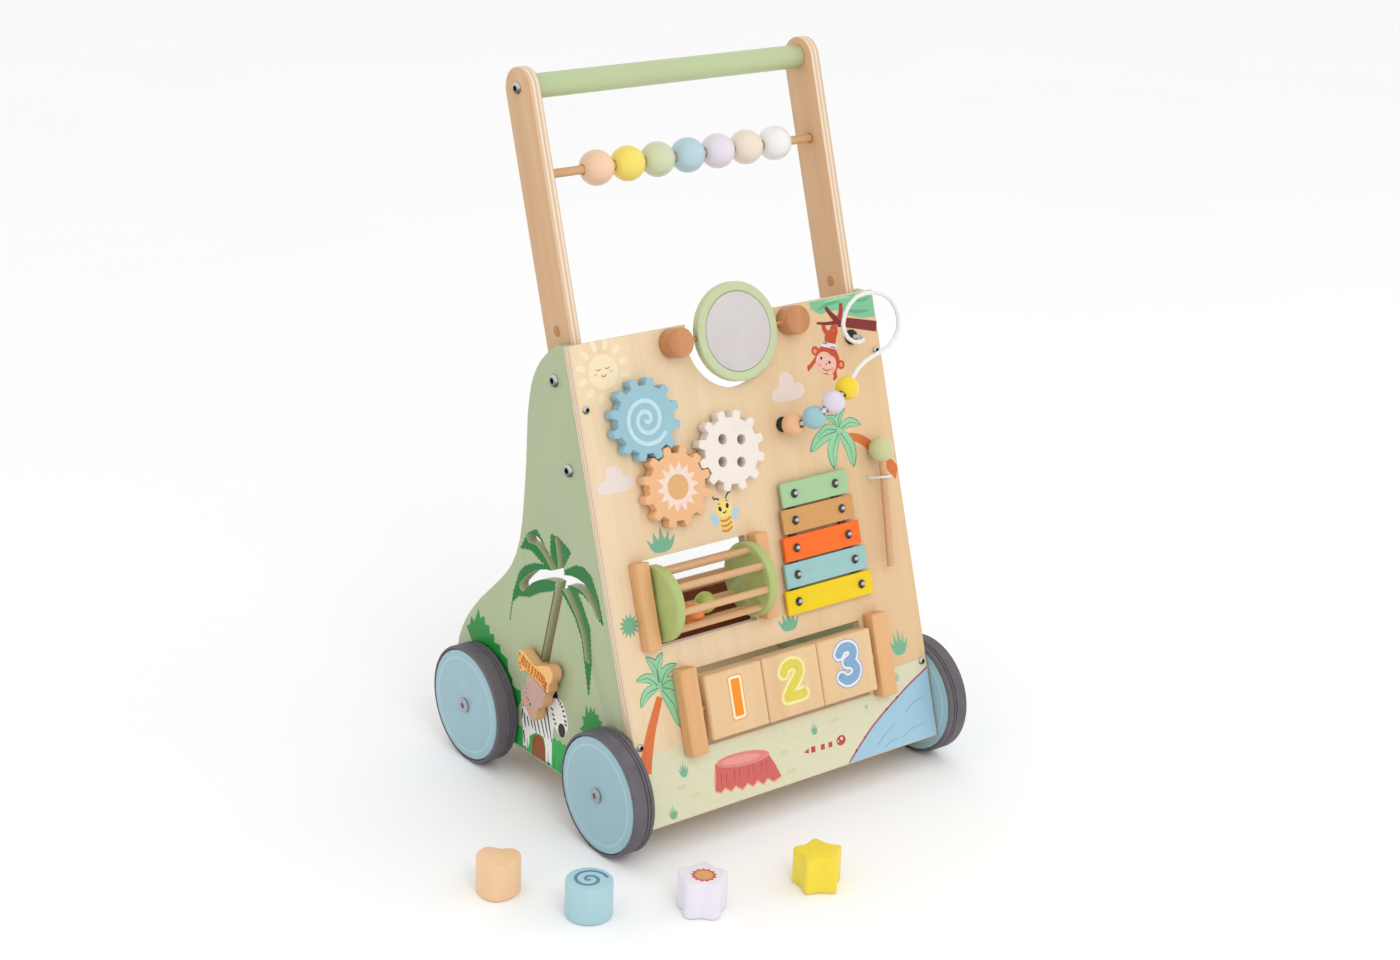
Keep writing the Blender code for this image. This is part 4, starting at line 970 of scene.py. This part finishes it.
def print_numbers():
    one = [[(plaque(14.4, 36, 3), (234, 158, 70))], [(plaque(12.6, 34.2, 2.4), (255, 240, 208))],
           [(plaque(8.4, 29.8, 1.4), (250, 150, 30))]]
    two = [[(-8.5, 7.4), (-6.2, 11.2), (0, 13.2), (6.2, 10.8), (7, 5.6), (3, 0), (-4, -6.8), (-8.2, -12.2)],
           [(-8.2, -12.6), (0, -12.6), (8.6, -12.6)]]
    three = [[(-7.5, 9.2), (-3, 13.2), (4, 13), (7.6, 9), (5.5, 4), (-0.5, 1.2)],
             [(-0.5, 1.2), (5.8, -1.2), (8.6, -7), (5, -12), (-2.5, -13.4), (-7.6, -9.8)]]
    looks = (one, digit_levels(two, 7.4, (230, 212, 84), (250, 240, 178), (238, 224, 132)),
             digit_levels(three, 7.4, (134, 174, 208), (240, 240, 244), (140, 166, 208)))
    for i, levels in enumerate(looks, 1):
        centre = PANEL.inverted() @ middle_of("number_block_%d" % i)
        place = on_panel(centre.x, centre.y + 2.5 * MM, NUMBER_FACE)
        sheet_of(levels, place, "number_%d_print" % i, "number_block_%d_body" % i)


# ---- prints on the left side and the loose blocks ----
def serrated(points, depth=1.1, pitch=4.2):
    """Closed outline with small saw teeth along it."""
    result = []
    for a, b in zip(points, points[1:] + points[:1]):
        count = max(1, round(dist(a, b) / pitch))
        for k in range(count):
            result.append(between(a, b, k / count))
            result.append(aside(between(a, b, (k + 0.75) / count), a, b, -depth))
    return result


def counter_clockwise(points):
    area = sum(a[0] * b[1] - b[0] * a[1] for a, b in zip(points, points[1:] + points[:1]))
    return points if area > 0 else points[::-1]


def on_face(points):
    """Side places (y, z) as the left face plane's own (x, y)."""
    return counter_clockwise([(-y, z) for y, z in points])


def side_stroke(line, *widths):
    """Stroke along side places (y, z), as an outline on the left face plane."""
    return counter_clockwise(ribbon([(-y, z) for y, z in line], *widths))


MAZE_LEAVES = (
    ((-2, 194), (3.5, 196), (15, 217), (24.6, 224.5), (37, 217), (46.4, 201.5), (40, 203.5), (31, 205),
     (20, 201), (10.5, 199)),
    ((0.1, 196.1), (5, 215), (4.4, 227.3), (-5.5, 227.7), (-17, 224), (-22.3, 221.4), (-11.3, 203.3), (-6, 196)),
    ((-3.1, 199.4), (10, 199.5), (27.2, 194.8), (40, 188), (47.6, 180.2), (56, 160), (60.9, 133.1),
     (57.6, 151.3), (48, 160), (33.4, 164.4), (18, 174), (-1.9, 182.5)),
    ((-14.6, 203.5), (-29.1, 212.7), (-40, 215), (-50.2, 211.1), (-60, 196), (-67.4, 177.2), (-60, 180),
     (-52.5, 188), (-40, 193), (-25, 192)),
    ((-10.1, 184.5), (-20, 193), (-29.5, 195), (-40, 183), (-50.1, 168), (-53, 140), (-50.5, 111.2),
     (-44.7, 135.8), (-40, 155), (-30, 170), (-18, 180)),
)


def print_maze(panel):
    """Dark green leaves cut out where the maze's channels run."""
    skin = panel.data.copy()
    skin.transform(Matrix.Translation((-0.00009, 0.0, 0.0)))
    skin_obj = link(bpy.data.objects.new("skin", skin))
    for i, outline in enumerate(MAZE_LEAVES):
        bm = bmesh.new()
        prism(bm, serrated(on_face(outline)), 0.4 * MM, (0.02 + 0.006 * i) * MM)
        print_obj = object_of(bm, "maze_leaf", on_left_face())
        cut = print_obj.modifiers.new("cut", "BOOLEAN")
        cut.operation = "INTERSECT"
        cut.solver = "EXACT"
        cut.object = skin_obj
        baked(print_obj)
        print_obj.data.transform(Matrix.Translation((-0.000004 * i, 0.0, 0.0)))
        dress(print_obj, "maze_leaf_%d" % (i + 1), "walker", [ink((12, 122, 50))])
    bpy.data.objects.remove(skin_obj)


def print_side():
    green, grass, bark = (30, 150, 60), (46, 178, 84), (128, 66, 30)
    bush_left = [
        (122.4, 100), (126.1, 104.1), (120.5, 107.5), (119, 115), (113.5, 113), (107.7, 126.3), (104.5, 119),
        (99, 123), (97, 116), (91.1, 117.3), (90.5, 110.5), (84, 112), (83.5, 105), (75, 106), (74, 100),
        (63.9, 97.5), (62.5, 88), (56, 83), (57, 77), (50.1, 76.5), (44.4, 77.3), (42.5, 70.3), (45.8, 63.6),
        (52, 56), (70, 56), (100, 70)]
    bush_right = [
        (-39.5, 77.9), (-44.4, 83.1), (-44, 87), (-41.8, 90.2), (-46.6, 91.2), (-47.2, 102.4), (-51, 96),
        (-53.6, 103.4), (-55.8, 99), (-58.9, 104.4), (-59.6, 99), (-64.5, 100), (-64.5, 96), (-69, 96.2),
        (-67.8, 92.5), (-77.4, 90.4), (-70, 74.4), (-51.5, 74.4)]
    strip = [(53, 27.5), (53, 44.3), (42, 46), (30, 47), (-1.7, 53), (-6, 56),
             (-9, 54), (-13, 57), (-16, 54.4), (-20.5, 56), (-25, 54), (-25, 27.5)]
    zebra = [
        (42.4, 63.6), (42.1, 52.7), (40.3, 46.3), (39.9, 28.6), (33, 28.7), (30.3, 36.3), (30.4, 42.5),
        (22.5, 48.4), (16.3, 49.6), (10.6, 49.9), (7.6, 42.3), (6.7, 30), (-1.5, 28), (-1.8, 49.8), (-2.6, 59),
        (-3.8, 66.2), (-7.5, 63.5), (-10.9, 60.5), (-19.2, 62.5), (-23.8, 72), (-21.9, 80), (-18.2, 87),
        (-15, 91.2), (-8.7, 92.5), (-1.8, 89.3), (3.5, 80.9), (20.3, 74.1)]
    stone = [(27.1, 27.2), (26.3, 41.5), (22.5, 46.7), (16.3, 48.6), (10.6, 47.8), (7.5, 38.8), (6.7, 28)]
    first = [(on_face(bush_left), green), (on_face(bush_right), green), (on_face(strip), grass)]
    trunk_edges = ([(-11.8, 181.7), (5.1, 117.4)], [(-1.6, 181.7), (15.3, 117.4)])
    first += tinted([side_stroke(line, 1.5) for line in trunk_edges], bark)
    second = [(on_face(zebra), (248, 246, 242)), (on_face(stone), (158, 76, 34))]
    stripes = [
        [(40.6, 63.1), (42.1, 52.7)], [(38.5, 60), (36.3, 48)], [(34.1, 58.7), (31.1, 50.1)],
        [(29.5, 58.8), (25.4, 50.8)], [(25, 60), (20.2, 48.7)], [(19.9, 62), (15.1, 49.8)],
        [(15.3, 65.8), (8.4, 50.1)], [(10.9, 71), (3.3, 50.9)], [(6.6, 76.8), (-1.5, 49.7)],
        [(39.2, 44), (37.2, 33)], [(38.5, 30), (34.5, 29.2)], [(4, 30), (-1, 29)]]
    third = tinted([side_stroke(line, 1.5, 0.7, 1.7) for line in stripes], INK_BLACK)
    third += [(ellipse(15, 66.2, 5, 6, -10), INK_BLACK)]
    face_marks = (
        ((0.8, 80), (-2.6, 79)), ((-1, 75.2), (-4.2, 74.8)), ((-2.4, 71.5), (-5.8, 71.6)),
        ((-4.8, 68), (-7.4, 69)), ((-10, 92), (-10.4, 89.2)), ((-12.8, 90.2), (-12, 87.2)),
        ((-16, 88), (-13.6, 85.8)), ((-18.2, 84.6), (-15.2, 83.2)), ((-20, 80.4), (-16.6, 79.6)),
        ((-21.4, 76.2), (-18, 76.4)), ((-22.2, 72.8), (-19, 73.8)))
    third += tinted([side_stroke(line, 1.6) for line in face_marks], INK_BLACK)
    mane = [(-1.8, 89.3), (0.3, 93), (-3.5, 96.5), (-7.8, 95.7), (-9.4, 91.7)]
    third += [(on_face(mane), INK_BLACK)]
    blades = [side_stroke([(y, 28), (y + 0.8, 39.5)], 1.4, 0.3) for y in (48, 40, 33, 22, 12, 3, -6, -14, -20)]
    third += tinted(blades, (24, 124, 52))
    sheet_of([first, second, third], on_left_face(), "side_prints", "walker")


def print_blocks():
    tops = {"round": [spiral(13.5, radians(-20), 1.7, 2.6, (96, 142, 168), clockwise=False)],
            "flower": [[(rays(0, 0, 8.2, 10, 13), (208, 104, 84))], dot_at(0, 0, 6.8, (228, 168, 118))]}
    for shape, levels in tops.items():
        top = middle_of("shape_" + shape)
        top.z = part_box("shape_" + shape)[1].z
        sheet_of(levels, Matrix.Translation(top), "block_%s_print" % shape, "block_" + shape)


def main():
    dress_body()
    dress_beads()
    dress_wire()
    dress_drum()
    dress_mallet()
    dress_wheels()
    make_fastenings()
    dress_sliders()
    dress_blocks()
    print_panel()
    print_gears()
    print_numbers()
    print_side()
    print_blocks()
    make_stage()
    make_lights()
    make_camera()


main()
